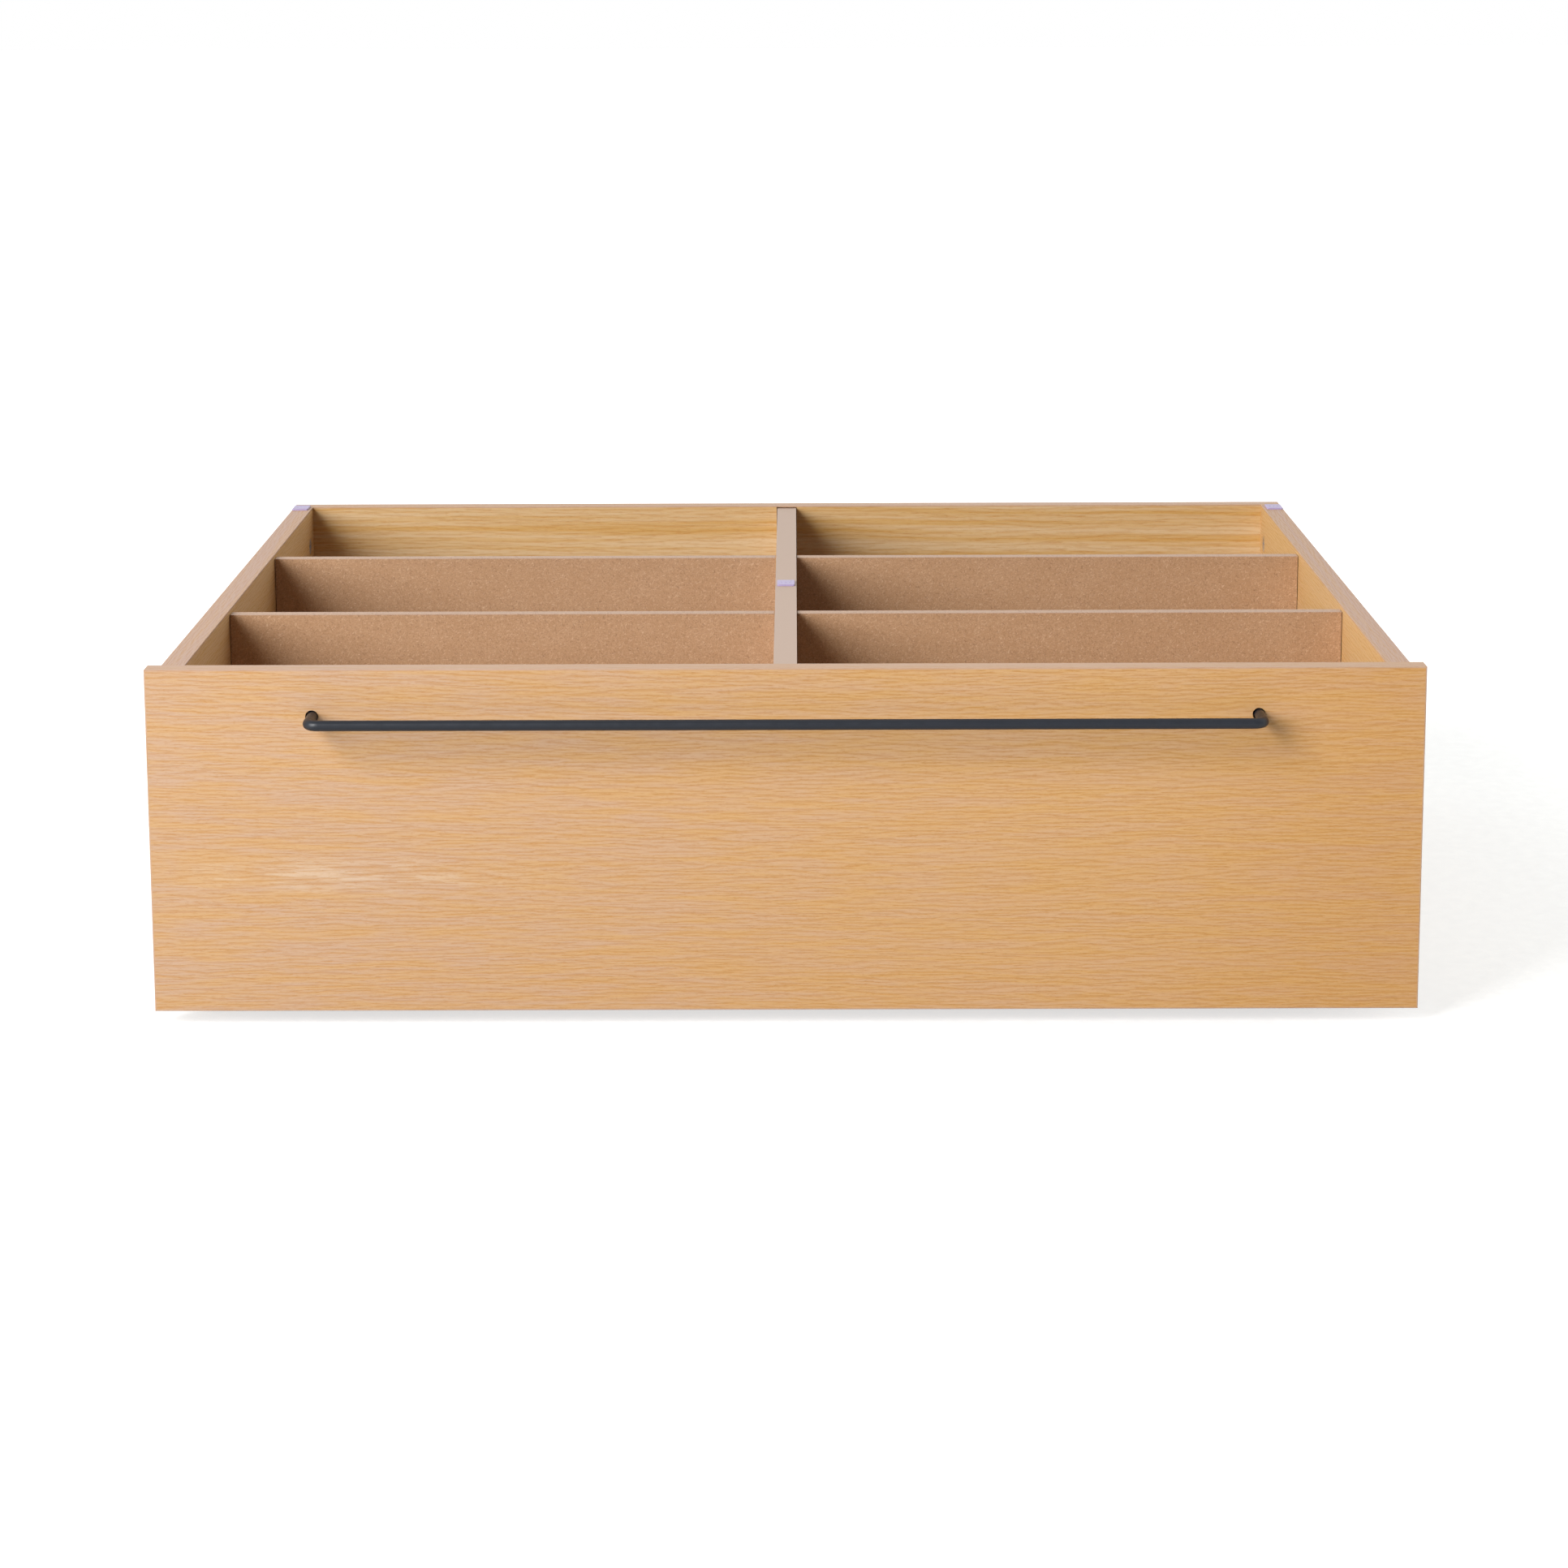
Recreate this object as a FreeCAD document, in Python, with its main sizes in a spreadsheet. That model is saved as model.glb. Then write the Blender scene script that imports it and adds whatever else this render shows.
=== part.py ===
"""Divided storage drawer that rolls under a bed on four fixed casters.

An oak-veneered front with a long bar handle closes a box made of two sides and a rear panel.
A centre divider and four cross dividers make six compartments over two thin bottom panels,
which lie in grooves and on two rails. The casters are screwed under the rails.

Frame: +X is to the right as seen from the front, +Y to the rear and +Z up. The origin is on the
floor, in the middle of the drawer's width and depth. All lengths are in millimetres.
"""
import FreeCAD, Part
import math
import os
import re
import Sketcher
from FreeCAD import Vector

# ---------------------------------------------------------------- driving dimensions
SIZES = [
    ("front_width", 960, "width of the front panel"),
    ("front_thick", 18, "thickness of the front panel"),
    ("front_overhang", 5, "how far the front stands out past each side of the box"),
    ("front_rise", 6, "how far the front stands above the box"),
    ("ground_gap", 12, "floor to the front's lower edge"),
    ("band_thick", 1, "thickness of the glued edge bands"),
    ("edge_round", 0.4, "rounding of the bands' outer edges"),
    ("box_height", 231, "height of the sides and the rear panel"),
    ("side_thick", 18, "thickness of the side panels"),
    ("rear_thick", 18, "thickness of the rear panel"),
    ("centre_thick", 18, "thickness of the centre divider"),
    ("centre_drop", 2, "centre divider's top below the box's top"),
    ("cross_thick", 12, "thickness of the cross dividers"),
    ("cross_drop", 4, "cross dividers' top below the box's top"),
    ("cross_gap", 0.6, "cross divider's end to the board beside it"),
    ("housing_depth", 3, "depth of the rear panel's housing for the centre divider"),
    ("housing_play", 0.7, "space on each side of the centre divider in that housing"),
    ("housing_spare", 0.3, "depth of the housing past the centre divider's end"),
    ("front_row", 248, "depth of the front compartments"),
    ("middle_row", 248, "depth of the middle compartments"),
    ("rear_row", 248, "depth of the rear compartments"),
    ("bottom_thick", 6, "thickness of the bottom panels"),
    ("bottom_lift", 28, "bottom panels' underside above the box's lower edge"),
    ("groove_depth", 6, "depth of the grooves that hold the bottom panels"),
    ("groove_gap", 0.5, "bottom panel's edge to the groove's floor"),
    ("groove_play", 0.2, "space over the bottom panel in its groove"),
    ("rail_width", 60, "front-to-rear width of the caster rails"),
    ("rail_thick", 18, "thickness of the caster rails"),
    ("rail_inset", 20, "caster rail to the front or rear panel"),
    ("notch_play", 0.3, "space on each side of a rail in the centre divider's notch"),
    ("handle_span", 710, "distance between the handle's leg axes"),
    ("handle_diameter", 8, "diameter of the handle rod"),
    ("handle_standoff", 31, "rod axis in front of the front's face"),
    ("handle_drop", 36, "rod axis below the front's top edge"),
    ("handle_bend", 8, "centreline radius of the handle's bends"),
    ("leg_sink", 8, "how deep the handle's legs sit in the front"),
    ("leg_play", 0.9, "radial space round a leg in a hole centred on it"),
    ("handle_shift", 0.4, "how far right of the holes' centres the handle is screwed"),
    ("grip_screw_diameter", 5, "thread of the handle screws"),
    ("grip_screw_length", 20, "handle screw length under its head"),
    ("grip_screw_play", 0.25, "least radial space round a handle screw"),
    ("grip_head_diameter", 9, "head of the handle screws"),
    ("grip_head_height", 3.2, "head height of the handle screws"),
    ("grip_head_round", 1.6, "rounding of that head"),
    ("grip_thread_spare", 2, "tapped depth past a handle screw's end"),
    ("washer_diameter", 12, "outer diameter of the handle washers"),
    ("washer_thick", 1, "thickness of the handle washers"),
    ("fastener_play", 0.05, "radial space round dowels, pegs, screws and pins"),
    ("hole_spare", 0.5, "depth of a blind hole past the end of what it holds"),
    ("cam_diameter", 15, "diameter of the cam locks"),
    ("cam_height", 12.5, "height of the cam locks"),
    ("cam_setback", 24, "cam axis to the end of the side panel"),
    ("cam_drop", 34, "upper cam axis below the box's top"),
    ("cam_rise", 36, "lower cam axis above the bottom panels"),
    ("cam_slot_width", 7.4, "slot in a cam for the bolt's head"),
    ("cam_slot_height", 8, "height of that slot from the cam's inner end"),
    ("bolt_diameter", 6, "thread and shaft of the cam bolts"),
    ("bolt_depth", 11, "thread length of a cam bolt in the panel"),
    ("bolt_neck_diameter", 4, "neck of a cam bolt inside the cam"),
    ("bolt_neck_length", 5, "length of that neck"),
    ("bolt_head_length", 3, "length of a cam bolt's head"),
    ("bolt_hole_play", 0.75, "radial space round a cam bolt in the side's end"),
    ("dowel_diameter", 8, "diameter of the panel dowels"),
    ("dowel_length", 30, "length of the panel dowels"),
    ("dowel_depth", 12, "how deep a dowel sits in the front or rear panel"),
    ("dowel_step", 32, "dowel axis to the nearest cam axis"),
    ("dowel_chamfer", 0.8, "chamfer on the ends of dowels and pegs"),
    ("peg_diameter", 6, "diameter of the cross divider pegs"),
    ("peg_depth", 12, "how deep a peg sits in each board"),
    ("peg_drop", 50, "upper peg axis below the cross divider's top"),
    ("peg_rise", 40, "lower peg axis above the bottom panels"),
    ("rail_screw_diameter", 5, "shank of the rail screws"),
    ("rail_screw_length", 50, "length of the rail screws"),
    ("rail_screw_head", 10, "countersunk head of the rail screws"),
    ("rail_screw_pitch", 36, "distance between the two screws in a rail's end"),
    ("pad_width", 15, "glide pad across the board's edge"),
    ("pad_length", 22, "glide pad along the board's edge"),
    ("pad_thick", 1.5, "thickness of the glide pads"),
    ("pad_corner", 1.2, "rounding of the pads' corners"),
    ("pad_edge", 0.5, "side pad to the board's outer face"),
    ("left_pad_setback", 14, "left pad's rear edge to the rear panel's back"),
    ("right_pad_setback", 24, "right pad's rear edge to the rear panel's back"),
    ("centre_pad_place", 370, "centre pad's middle behind the front panel"),
    ("pin_diameter", 1.6, "diameter of the pad pins"),
    ("pin_length", 12, "length of the pad pins"),
    ("pin_pitch", 3.6, "distance between the pins of a pad"),
    ("pin_sink", 0.3, "pin's head below the pad's face"),
    ("caster_spacing", 8, "caster screws to the rail screws' ends"),
    ("plate_size", 48, "width of the casters' square plate"),
    ("plate_thick", 2, "thickness of that plate"),
    ("plate_corner", 4, "rounding of the plate's corners"),
    ("plate_pitch", 36, "distance between the plate's holes"),
    ("fork_thick", 2, "thickness of the fork's legs"),
    ("fork_width", 30, "width of a fork leg at the plate"),
    ("fork_end", 9, "radius of a fork leg's rounded end"),
    ("wheel_diameter", 40, "diameter over the tread"),
    ("wheel_width", 16, "width of the wheel's rim and tread"),
    ("wheel_gap", 2, "rim to each fork leg"),
    ("wheel_headroom", 8, "wheel's top to the plate"),
    ("tread_thick", 3, "thickness of the soft tread"),
    ("tread_play", 0.02, "radial space between tread and rim"),
    ("tread_round", 2, "rounding of the tread's shoulders"),
    ("rim_thick", 3, "thickness of the wheel's rim"),
    ("web_thick", 6, "thickness of the wheel's web"),
    ("hub_diameter", 14, "diameter of the wheel's hub"),
    ("hub_play", 0.3, "hub's end to each fork leg"),
    ("axle_diameter", 6, "diameter of the axle rivet"),
    ("axle_play", 0.08, "radial running space round the axle"),
    ("axle_head", 10, "diameter of the axle's heads"),
    ("axle_head_height", 1.5, "height of the axle's heads"),
    ("axle_head_round", 1.2, "rounding of the axle's heads"),
    ("caster_screw_diameter", 4, "shank of the caster screws"),
    ("caster_screw_length", 16, "caster screw length under its head"),
    ("caster_head_diameter", 7, "head of the caster screws"),
    ("caster_head_height", 2.2, "head height of the caster screws"),
    ("caster_head_round", 1.3, "rounding of that head"),
    ("recess_width", 1.4, "slot width of the cross recesses"),
    ("recess_share", 0.62, "cross recess length as a part of the head's diameter"),
    ("recess_depth", 1.4, "depth of the cross recesses"),
]

# Places and sizes that follow from the driving dimensions.
PLACES = [
    ("box_width", "front_width - 2 * front_overhang"),
    ("inner_width", "box_width - 2 * side_thick"),
    ("bay_width", "(inner_width - centre_thick) / 2"),
    ("cross_length", "bay_width - 2 * cross_gap"),
    ("side_length", "front_row + middle_row + rear_row + 2 * cross_thick"),
    ("centre_length", "side_length + housing_depth - housing_spare"),
    ("handle_reach", "handle_standoff + handle_diameter / 2"),
    ("total_depth", "handle_reach + front_thick + side_length + rear_thick"),
    ("front_face", "handle_reach - total_depth / 2"),
    ("front_back", "front_face + front_thick"),
    ("rear_face", "front_back + side_length"),
    ("box_middle", "front_back + side_length / 2"),
    ("axle_height", "wheel_diameter / 2"),
    ("plate_low", "wheel_diameter + wheel_headroom"),
    ("rail_low", "plate_low + plate_thick"),
    ("bottom_low", "rail_low + rail_thick"),
    ("bottom_top", "bottom_low + bottom_thick"),
    ("box_low", "bottom_low - bottom_lift"),
    ("box_top", "box_low + box_height"),
    ("board_top", "box_top - band_thick"),
    ("front_top", "box_top + front_rise"),
    ("cross_top", "box_top - cross_drop"),
    ("centre_top", "box_top - centre_drop"),
    ("handle_height", "front_top - handle_drop"),
    ("leg_hole", "handle_diameter + 2 * leg_play"),
    ("front_cross", "front_row"),
    ("rear_cross", "front_row + cross_thick + middle_row"),
    ("side_middle", "(box_width - side_thick) / 2"),
    ("cam_high", "box_top - cam_drop"),
    ("cam_low", "bottom_top + cam_rise"),
    ("dowel_high", "cam_high - dowel_step"),
    ("dowel_low", "cam_low + dowel_step"),
    ("peg_high", "cross_top - peg_drop"),
    ("peg_low", "bottom_top + peg_rise"),
    ("groove_height", "bottom_thick + groove_play"),
    ("rail_reach", "rail_inset + rail_width / 2"),
    ("rail_screw_end", "box_width / 2 - rail_screw_length"),
    ("caster_place", "rail_screw_end - caster_spacing - (plate_pitch + caster_screw_diameter) / 2"),
    ("fork_gap", "wheel_width + 2 * wheel_gap"),
    ("fork_outside", "fork_gap + 2 * fork_thick"),
    ("rim_diameter", "wheel_diameter - 2 * tread_thick"),
    ("left_pad_rear", "rear_face + rear_thick - left_pad_setback"),
    ("right_pad_rear", "rear_face + rear_thick - right_pad_setback"),
    ("side_pad_middle", "box_width / 2 - pad_edge - pad_width / 2"),
]

# Sketch planes by the axis they face, and the side their normal points to.
PLANES = {"X": ("YZ_Plane", 1), "Y": ("XZ_Plane", -1), "Z": ("XY_Plane", 1)}
SUB_PART_LIMIT = 60
LEAST_CHANGE = 1e-3
SAME_PLACE = 1e-4

doc = FreeCAD.newDocument("StorageDrawer")
sub_parts = []


# ---------------------------------------------------------------- sheets and formulas
def add_sheet(name, rows):
    """Make a sheet with one named cell in each row: alias, value or formula, meaning."""
    sheet = doc.addObject("Spreadsheet::Sheet", name)
    for row, (alias, content, *meaning) in enumerate(rows, start=1):
        sheet.set(f"A{row}", alias)
        sheet.set(f"B{row}", str(content))
        sheet.setAlias(f"B{row}", alias)
        sheet.set(f"C{row}", "".join(meaning))
    return sheet


CELLS = {alias: f"Sizes.{alias}" for alias, *_ in SIZES}
CELLS.update({alias: f"Places.{alias}" for alias, _ in PLACES})


def cell(formula):
    """Put the sheet's name in front of every alias in a formula."""
    return re.sub(r"[a-z_]+", lambda word: CELLS.get(word[0], word[0]), formula)


def bind(target, path, formula):
    """Tie a property of an object to a formula over the sheets."""
    target.setExpression(path, cell(formula))


def value_of(formula):
    """Work a formula out as it stands now."""
    return float(sizes.evalExpression(cell(formula)))


# ---------------------------------------------------------------- bodies and sketches
def add_body(label, x="0", y="0", z="0"):
    """Start a sub-part whose own origin is at the given place of the drawer's frame."""
    body = doc.addObject("PartDesign::Body", label)
    body.Label = label
    bind(body, "Placement.Base.x", x)
    bind(body, "Placement.Base.y", y)
    bind(body, "Placement.Base.z", z)
    sub_parts.append(body)
    return body


def origin_item(body, role):
    """Find one of the body's own origin planes or axes."""
    return next(item for item in body.Origin.OriginFeatures if item.Role == role)


def add_sketch(body, axis, start="0"):
    """Attach a sketch to the body's origin plane that faces an axis, moved along that axis."""
    role, side = PLANES[axis]
    sketch = body.newObject("Sketcher::SketchObject", f"{body.Label}_sketch")
    sketch.AttachmentSupport = [(origin_item(body, role), "")]
    sketch.MapMode = "FlatFace"
    bind(sketch, "AttachmentOffset.Base.z", f"{side} * ({start})")
    return sketch


def measure(sketch, kind, formula, *ends):
    """Add a driving dimension that follows a formula."""
    index = sketch.addConstraint(Sketcher.Constraint(kind, *ends, value_of(formula)))
    bind(sketch, f"Constraints[{index}]", formula)


def place_point(sketch, element, end, across, up):
    """Fix a point of an element by its two distances from the sketch's origin."""
    measure(sketch, "DistanceX", across, -1, 1, element, end)
    measure(sketch, "DistanceY", up, -1, 1, element, end)


def add_outline(sketch, corners):
    """Draw a closed outline of straight lines through corners given as pairs of formulas."""
    points = [Vector(value_of(across), value_of(up), 0) for across, up in corners]
    ends = points[1:] + points[:1]
    lines = [sketch.addGeometry(Part.LineSegment(*pair)) for pair in zip(points, ends)]
    for line, following in zip(lines, lines[1:] + lines[:1]):
        sketch.addConstraint(Sketcher.Constraint("Coincident", line, 2, following, 1))
    for line, (across, up) in zip(lines, corners):
        place_point(sketch, line, 1, across, up)


def add_rectangle(sketch, left, low, width, height):
    """Draw an upright rectangle from its lower left corner."""
    right, high = f"{left} + {width}", f"{low} + {height}"
    add_outline(sketch, [(left, low), (right, low), (right, high), (left, high)])


def add_circles(sketch, spots, diameter):
    """Draw one circle of the same size at each spot."""
    for across, up in spots:
        centre = Vector(value_of(across), value_of(up), 0)
        circle = sketch.addGeometry(Part.Circle(centre, Vector(0, 0, 1), value_of(diameter) / 2))
        measure(sketch, "Diameter", diameter, circle)
        place_point(sketch, circle, 3, across, up)


# ---------------------------------------------------------------- features
def extrude(body, kind, axis, sketch, length, toward=1):
    """Pad a sketch, or pocket it, towards the + or - side of the axis it faces."""
    feature = body.newObject(f"PartDesign::{kind}", f"{body.Label}_{kind.lower()}")
    feature.Profile = sketch
    bind(feature, "Length", length)
    along_normal = toward == PLANES[axis][1]
    feature.Reversed = along_normal if kind == "Pocket" else not along_normal
    return feature


def add_board(label, axis, corner, extent, thick, place):
    """Make a board: a rectangle facing an axis, as thick as given towards + of that axis."""
    body = add_body(label, *place)
    sketch = add_sketch(body, axis)
    add_rectangle(sketch, *corner, *extent)
    extrude(body, "Pad", axis, sketch, thick)
    return body


def cut_slots(body, axis, start, depth, corners, extent, toward=1):
    """Pocket rectangles of one size into a body, one from each lower left corner."""
    sketch = add_sketch(body, axis, start)
    for corner in corners:
        add_rectangle(sketch, *corner, *extent)
    return extrude(body, "Pocket", axis, sketch, depth, toward)


def drill(body, axis, start, depth, diameter, spots, toward=1):
    """Pocket round holes of one size into a body."""
    sketch = add_sketch(body, axis, start)
    add_circles(sketch, spots, diameter)
    return extrude(body, "Pocket", axis, sketch, depth, toward)


def add_rods(body, axis, start, length, diameter, spots):
    """Pad round rods of one size, one at each spot."""
    sketch = add_sketch(body, axis, start)
    add_circles(sketch, spots, diameter)
    return extrude(body, "Pad", axis, sketch, length)


def dress(body, kind, size, *tests):
    """Fillet or chamfer the edges of the body's last feature that pass every test."""
    doc.recompute()
    base = body.Tip
    names = [f"Edge{number}" for number, edge in enumerate(base.Shape.Edges, start=1)
             if all(test(edge) for test in tests)]
    if not names:
        raise ValueError(f"{body.Label}: no edge to {kind.lower()}")
    feature = body.newObject(f"PartDesign::{kind}", f"{body.Label}_{kind.lower()}")
    feature.Base = (base, names)
    bind(feature, "Radius" if kind == "Fillet" else "Size", size)
    return feature


def repeat(body, features, *steps):
    """Copy features by mirrors, named by their plane, and rows, given as axis and distance."""
    copies = body.newObject("PartDesign::MultiTransform", f"{body.Label}_copies")
    copies.Originals = features
    transformations = []
    for role, *distance in steps:
        if distance:
            step = body.newObject("PartDesign::LinearPattern", f"{body.Label}_row")
            step.Direction = (origin_item(body, role), [""])
            bind(step, "Length", distance[0])
            step.Occurrences = 2
        else:
            step = body.newObject("PartDesign::Mirrored", f"{body.Label}_mirror")
            step.MirrorPlane = (origin_item(body, role), [""])
        transformations.append(step)
    copies.Transformations = transformations
    body.Tip = copies
    return copies


def cross_recess(body, axis, start, toward, spots, head, depth="recess_depth"):
    """Cut a cross recess into the round head at each spot."""
    long_side, short_side = f"({head}) * recess_share", "recess_width"
    cuts = []
    for width, height in ((long_side, short_side), (short_side, long_side)):
        corners = [(f"{across} - {width} / 2", f"{up} - {height} / 2") for across, up in spots]
        cuts.append(cut_slots(body, axis, start, depth, corners, (width, height), toward))
    return cuts


# ---------------------------------------------------------------- choosing edges
def is_round(radius):
    """Choose the circles of one radius."""
    wanted = value_of(radius)
    return lambda edge: (isinstance(edge.Curve, Part.Circle)
                         and abs(edge.Curve.Radius - wanted) < SAME_PLACE)


def runs_along(axis):
    """Choose the straight edges that run along an axis."""
    return lambda edge: (isinstance(edge.Curve, Part.Line)
                         and abs(abs(getattr(edge.Curve.Direction, axis)) - 1) < SAME_PLACE)


def lies_at(axis, place):
    """Choose the edges whose ends both lie at a place of an axis."""
    wanted = value_of(place)
    return lambda edge: all(abs(getattr(vertex.Point, axis) - wanted) < SAME_PLACE
                            for vertex in edge.Vertexes)


# ---------------------------------------------------------------- shared spots
def both_sides(across, heights):
    """Spots at the same heights on the left and on the right."""
    return [(f"{sign}({across})", up) for sign in ("-", "") for up in heights]


CAM_HEIGHTS = ("cam_low", "cam_high")
DOWEL_HEIGHTS = ("dowel_low", "dowel_high")
PANEL_DOWEL_SPOTS = both_sides("side_middle", DOWEL_HEIGHTS) + [("0", up) for up in DOWEL_HEIGHTS]
CAM_BOLT_SPOTS = both_sides("side_middle", CAM_HEIGHTS)
HANDLE_SPOTS = both_sides("handle_span / 2", ("handle_height",))
CROSS_PLACES = ("front_cross + cross_thick / 2", "rear_cross + cross_thick / 2")
PEG_SPOTS = [(along, up) for along in CROSS_PLACES for up in ("peg_low", "peg_high")]
RAIL_PLACES = ("rail_reach", "side_length - rail_reach")
RAIL_SCREW_SPOTS = [(f"{place} {sign} rail_screw_pitch / 2", "rail_low + rail_thick / 2")
                    for place in RAIL_PLACES for sign in "-+"]


def pin_spots(across, along):
    """Spots of the three pins of a glide pad, in a row across the board."""
    return [(f"{across} + {step} * pin_pitch", along) for step in (-1, 0, 1)]


# Pins of the side pads, from the outer or inner face of the side and the front panel's back.
LEFT_PINS = pin_spots("pad_edge + pad_width / 2", "left_pad_rear - front_back - pad_length / 2")
RIGHT_PINS = pin_spots("side_thick - pad_edge - pad_width / 2",
                       "right_pad_rear - front_back - pad_length / 2")


# ---------------------------------------------------------------- front and rear panels
def receive_box(body, start, toward):
    """Cut what the front and rear panels share: the bottom's groove, dowel and bolt holes."""
    drill(body, "Y", start, "dowel_depth + hole_spare", "dowel_diameter + 2 * fastener_play",
          PANEL_DOWEL_SPOTS, toward)
    drill(body, "Y", start, "bolt_depth + hole_spare", "bolt_diameter + 2 * fastener_play",
          CAM_BOLT_SPOTS, toward)
    cut_slots(body, "Y", start, "groove_depth", [("-inner_width / 2 - groove_depth", "bottom_low")],
              ("inner_width + 2 * groove_depth", "groove_height"), toward)


def add_front_panel():
    """Front panel: holes for the handle's legs and screws, and the box behind it."""
    body = add_board("front_panel", "Y",
                     ("-front_width / 2 + band_thick", "ground_gap + band_thick"),
                     ("front_width - 2 * band_thick", "front_top - ground_gap - 2 * band_thick"),
                     "front_thick", ("0", "front_face", "0"))
    drill(body, "Y", "0", "leg_sink", "leg_hole", HANDLE_SPOTS)
    drill(body, "Y", "0", "front_thick",
          "grip_screw_diameter + 2 * (grip_screw_play + handle_shift)", HANDLE_SPOTS)
    receive_box(body, "front_thick", -1)


def add_rear_panel():
    """Rear panel: it covers the ends of the sides and houses the end of the centre divider."""
    body = add_board("rear_panel", "Y", ("-box_width / 2 + band_thick", "box_low"),
                     ("box_width - 2 * band_thick", "box_height - band_thick"),
                     "rear_thick", ("0", "rear_face", "0"))
    receive_box(body, "0", 1)
    cut_slots(body, "Y", "0", "housing_depth", [("-centre_thick / 2 - housing_play", "box_low")],
              ("centre_thick + 2 * housing_play", "box_height"))


# ---------------------------------------------------------------- sides and centre divider
def add_side_panel(label, face, inward, pins):
    """Side panel between the front and rear panels, with its lower X face at the given place."""
    body = add_board(label, "X", ("0", "box_low"), ("side_length", "box_height - band_thick"),
                     "side_thick", (face, "front_back", "0"))
    inner, outer = ("side_thick", "0") if inward > 0 else ("0", "side_thick")
    cam_spots = [(along, up) for along in ("cam_setback", "side_length - cam_setback")
                 for up in CAM_HEIGHTS]
    end_spots = [("side_thick / 2", up) for up in CAM_HEIGHTS]
    dowel_spots = [("side_thick / 2", up) for up in DOWEL_HEIGHTS]
    dowel_hole = "dowel_diameter + 2 * fastener_play"
    drill(body, "X", inner, "cam_height + hole_spare", "cam_diameter + 2 * fastener_play",
          cam_spots, -inward)
    for start, toward in (("0", 1), ("side_length", -1)):
        drill(body, "Y", start, "cam_setback", "bolt_diameter + 2 * bolt_hole_play", end_spots, toward)
        drill(body, "Y", start, "dowel_length - dowel_depth + hole_spare", dowel_hole,
              dowel_spots, toward)
    drill(body, "X", inner, "peg_depth + hole_spare", "peg_diameter + 2 * fastener_play",
          PEG_SPOTS, -inward)
    cut_slots(body, "X", inner, "groove_depth", [("0", "bottom_low")],
              ("side_length", "groove_height"), -inward)
    screw_hole = "rail_screw_diameter + 2 * fastener_play"
    drill(body, "X", outer, "side_thick", screw_hole, RAIL_SCREW_SPOTS, inward)
    dress(body, "Chamfer", "(rail_screw_head - rail_screw_diameter) / 2",
          is_round(f"({screw_hole}) / 2"), lies_at("x", outer))
    drill(body, "Z", "board_top", "pin_length", "pin_diameter + 2 * fastener_play", pins, -1)


def add_centre_divider():
    """Centre divider: grooves on both faces and notches that straddle the rails."""
    body = add_board("centre_divider", "X", ("0", "rail_low"),
                     ("centre_length", "centre_top - rail_low"),
                     "centre_thick", ("-centre_thick / 2", "front_back", "0"))
    dowel_spots = [("centre_thick / 2", up) for up in DOWEL_HEIGHTS]
    for start, extra, toward in (("0", "0", 1), ("centre_length", "centre_length - side_length", -1)):
        drill(body, "Y", start, f"dowel_length - dowel_depth + hole_spare + {extra}",
              "dowel_diameter + 2 * fastener_play", dowel_spots, toward)
    drill(body, "X", "0", "centre_thick", "peg_diameter + 2 * fastener_play", PEG_SPOTS)
    for start, toward in (("0", 1), ("centre_thick", -1)):
        cut_slots(body, "X", start, "groove_depth", [("0", "bottom_low")],
                  ("centre_length", "groove_height"), toward)
    notches = [(f"{place} - rail_width / 2 - notch_play", "rail_low") for place in RAIL_PLACES]
    cut_slots(body, "X", "0", "centre_thick", notches, ("rail_width + 2 * notch_play", "rail_thick"))
    drill(body, "Z", "centre_top", "pin_length", "pin_diameter + 2 * fastener_play",
          pin_spots("centre_thick / 2", "centre_pad_place"), -1)


# ---------------------------------------------------------------- dividers, bottoms and rails
def add_cross_divider(label, left, along):
    """Cross divider between a side and the centre divider, standing on a bottom panel."""
    body = add_board(label, "Y", ("0", "bottom_top"), ("cross_length", "cross_top - bottom_top"),
                     "cross_thick", (f"{left} + cross_gap", f"front_back + {along}", "0"))
    spots = [("cross_thick / 2", up) for up in ("peg_low", "peg_high")]
    for start, toward in (("0", 1), ("cross_length", -1)):
        drill(body, "X", start, "peg_depth - cross_gap + hole_spare",
              "peg_diameter + 2 * fastener_play", spots, toward)


def add_bottom_panel(label, left):
    """Bottom panel: its four edges reach into the grooves."""
    reach = "(groove_depth - groove_gap)"
    add_board(label, "Z", (f"-{reach}", f"-{reach}"),
              (f"bay_width + 2 * {reach}", f"side_length + 2 * {reach}"),
              "bottom_thick", (left, "front_back", "bottom_low"))


def add_rail(label, place):
    """Rail under the bottom panels, screwed between the sides; it carries two casters."""
    body = add_board(label, "Z", ("-inner_width / 2", "-rail_width / 2"),
                     ("inner_width", "rail_width"), "rail_thick",
                     ("0", f"front_back + {place}", "rail_low"))
    caster_spots = [(f"{side}caster_place {across} plate_pitch / 2", f"{along}plate_pitch / 2")
                    for side in ("-", "") for across in "-+" for along in ("-", "")]
    drill(body, "Z", "0", "caster_screw_length - plate_thick + hole_spare",
          "caster_screw_diameter + 2 * fastener_play", caster_spots)
    end_spots = [(f"{along}rail_screw_pitch / 2", "rail_thick / 2") for along in ("-", "")]
    for start, toward in (("-inner_width / 2", 1), ("inner_width / 2", -1)):
        drill(body, "X", start, "rail_screw_length - side_thick + hole_spare",
              "rail_screw_diameter + 2 * fastener_play", end_spots, toward)


# ---------------------------------------------------------------- edge bands
def add_band(label, axis, corner, extent, place, length_axis, outer):
    """Edge band: a thin strip whose two long outer edges are rounded."""
    body = add_board(label, axis, corner, extent, "band_thick", place)
    dress(body, "Fillet", "edge_round", runs_along(length_axis), lies_at(axis.lower(), outer))
    return body


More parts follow.
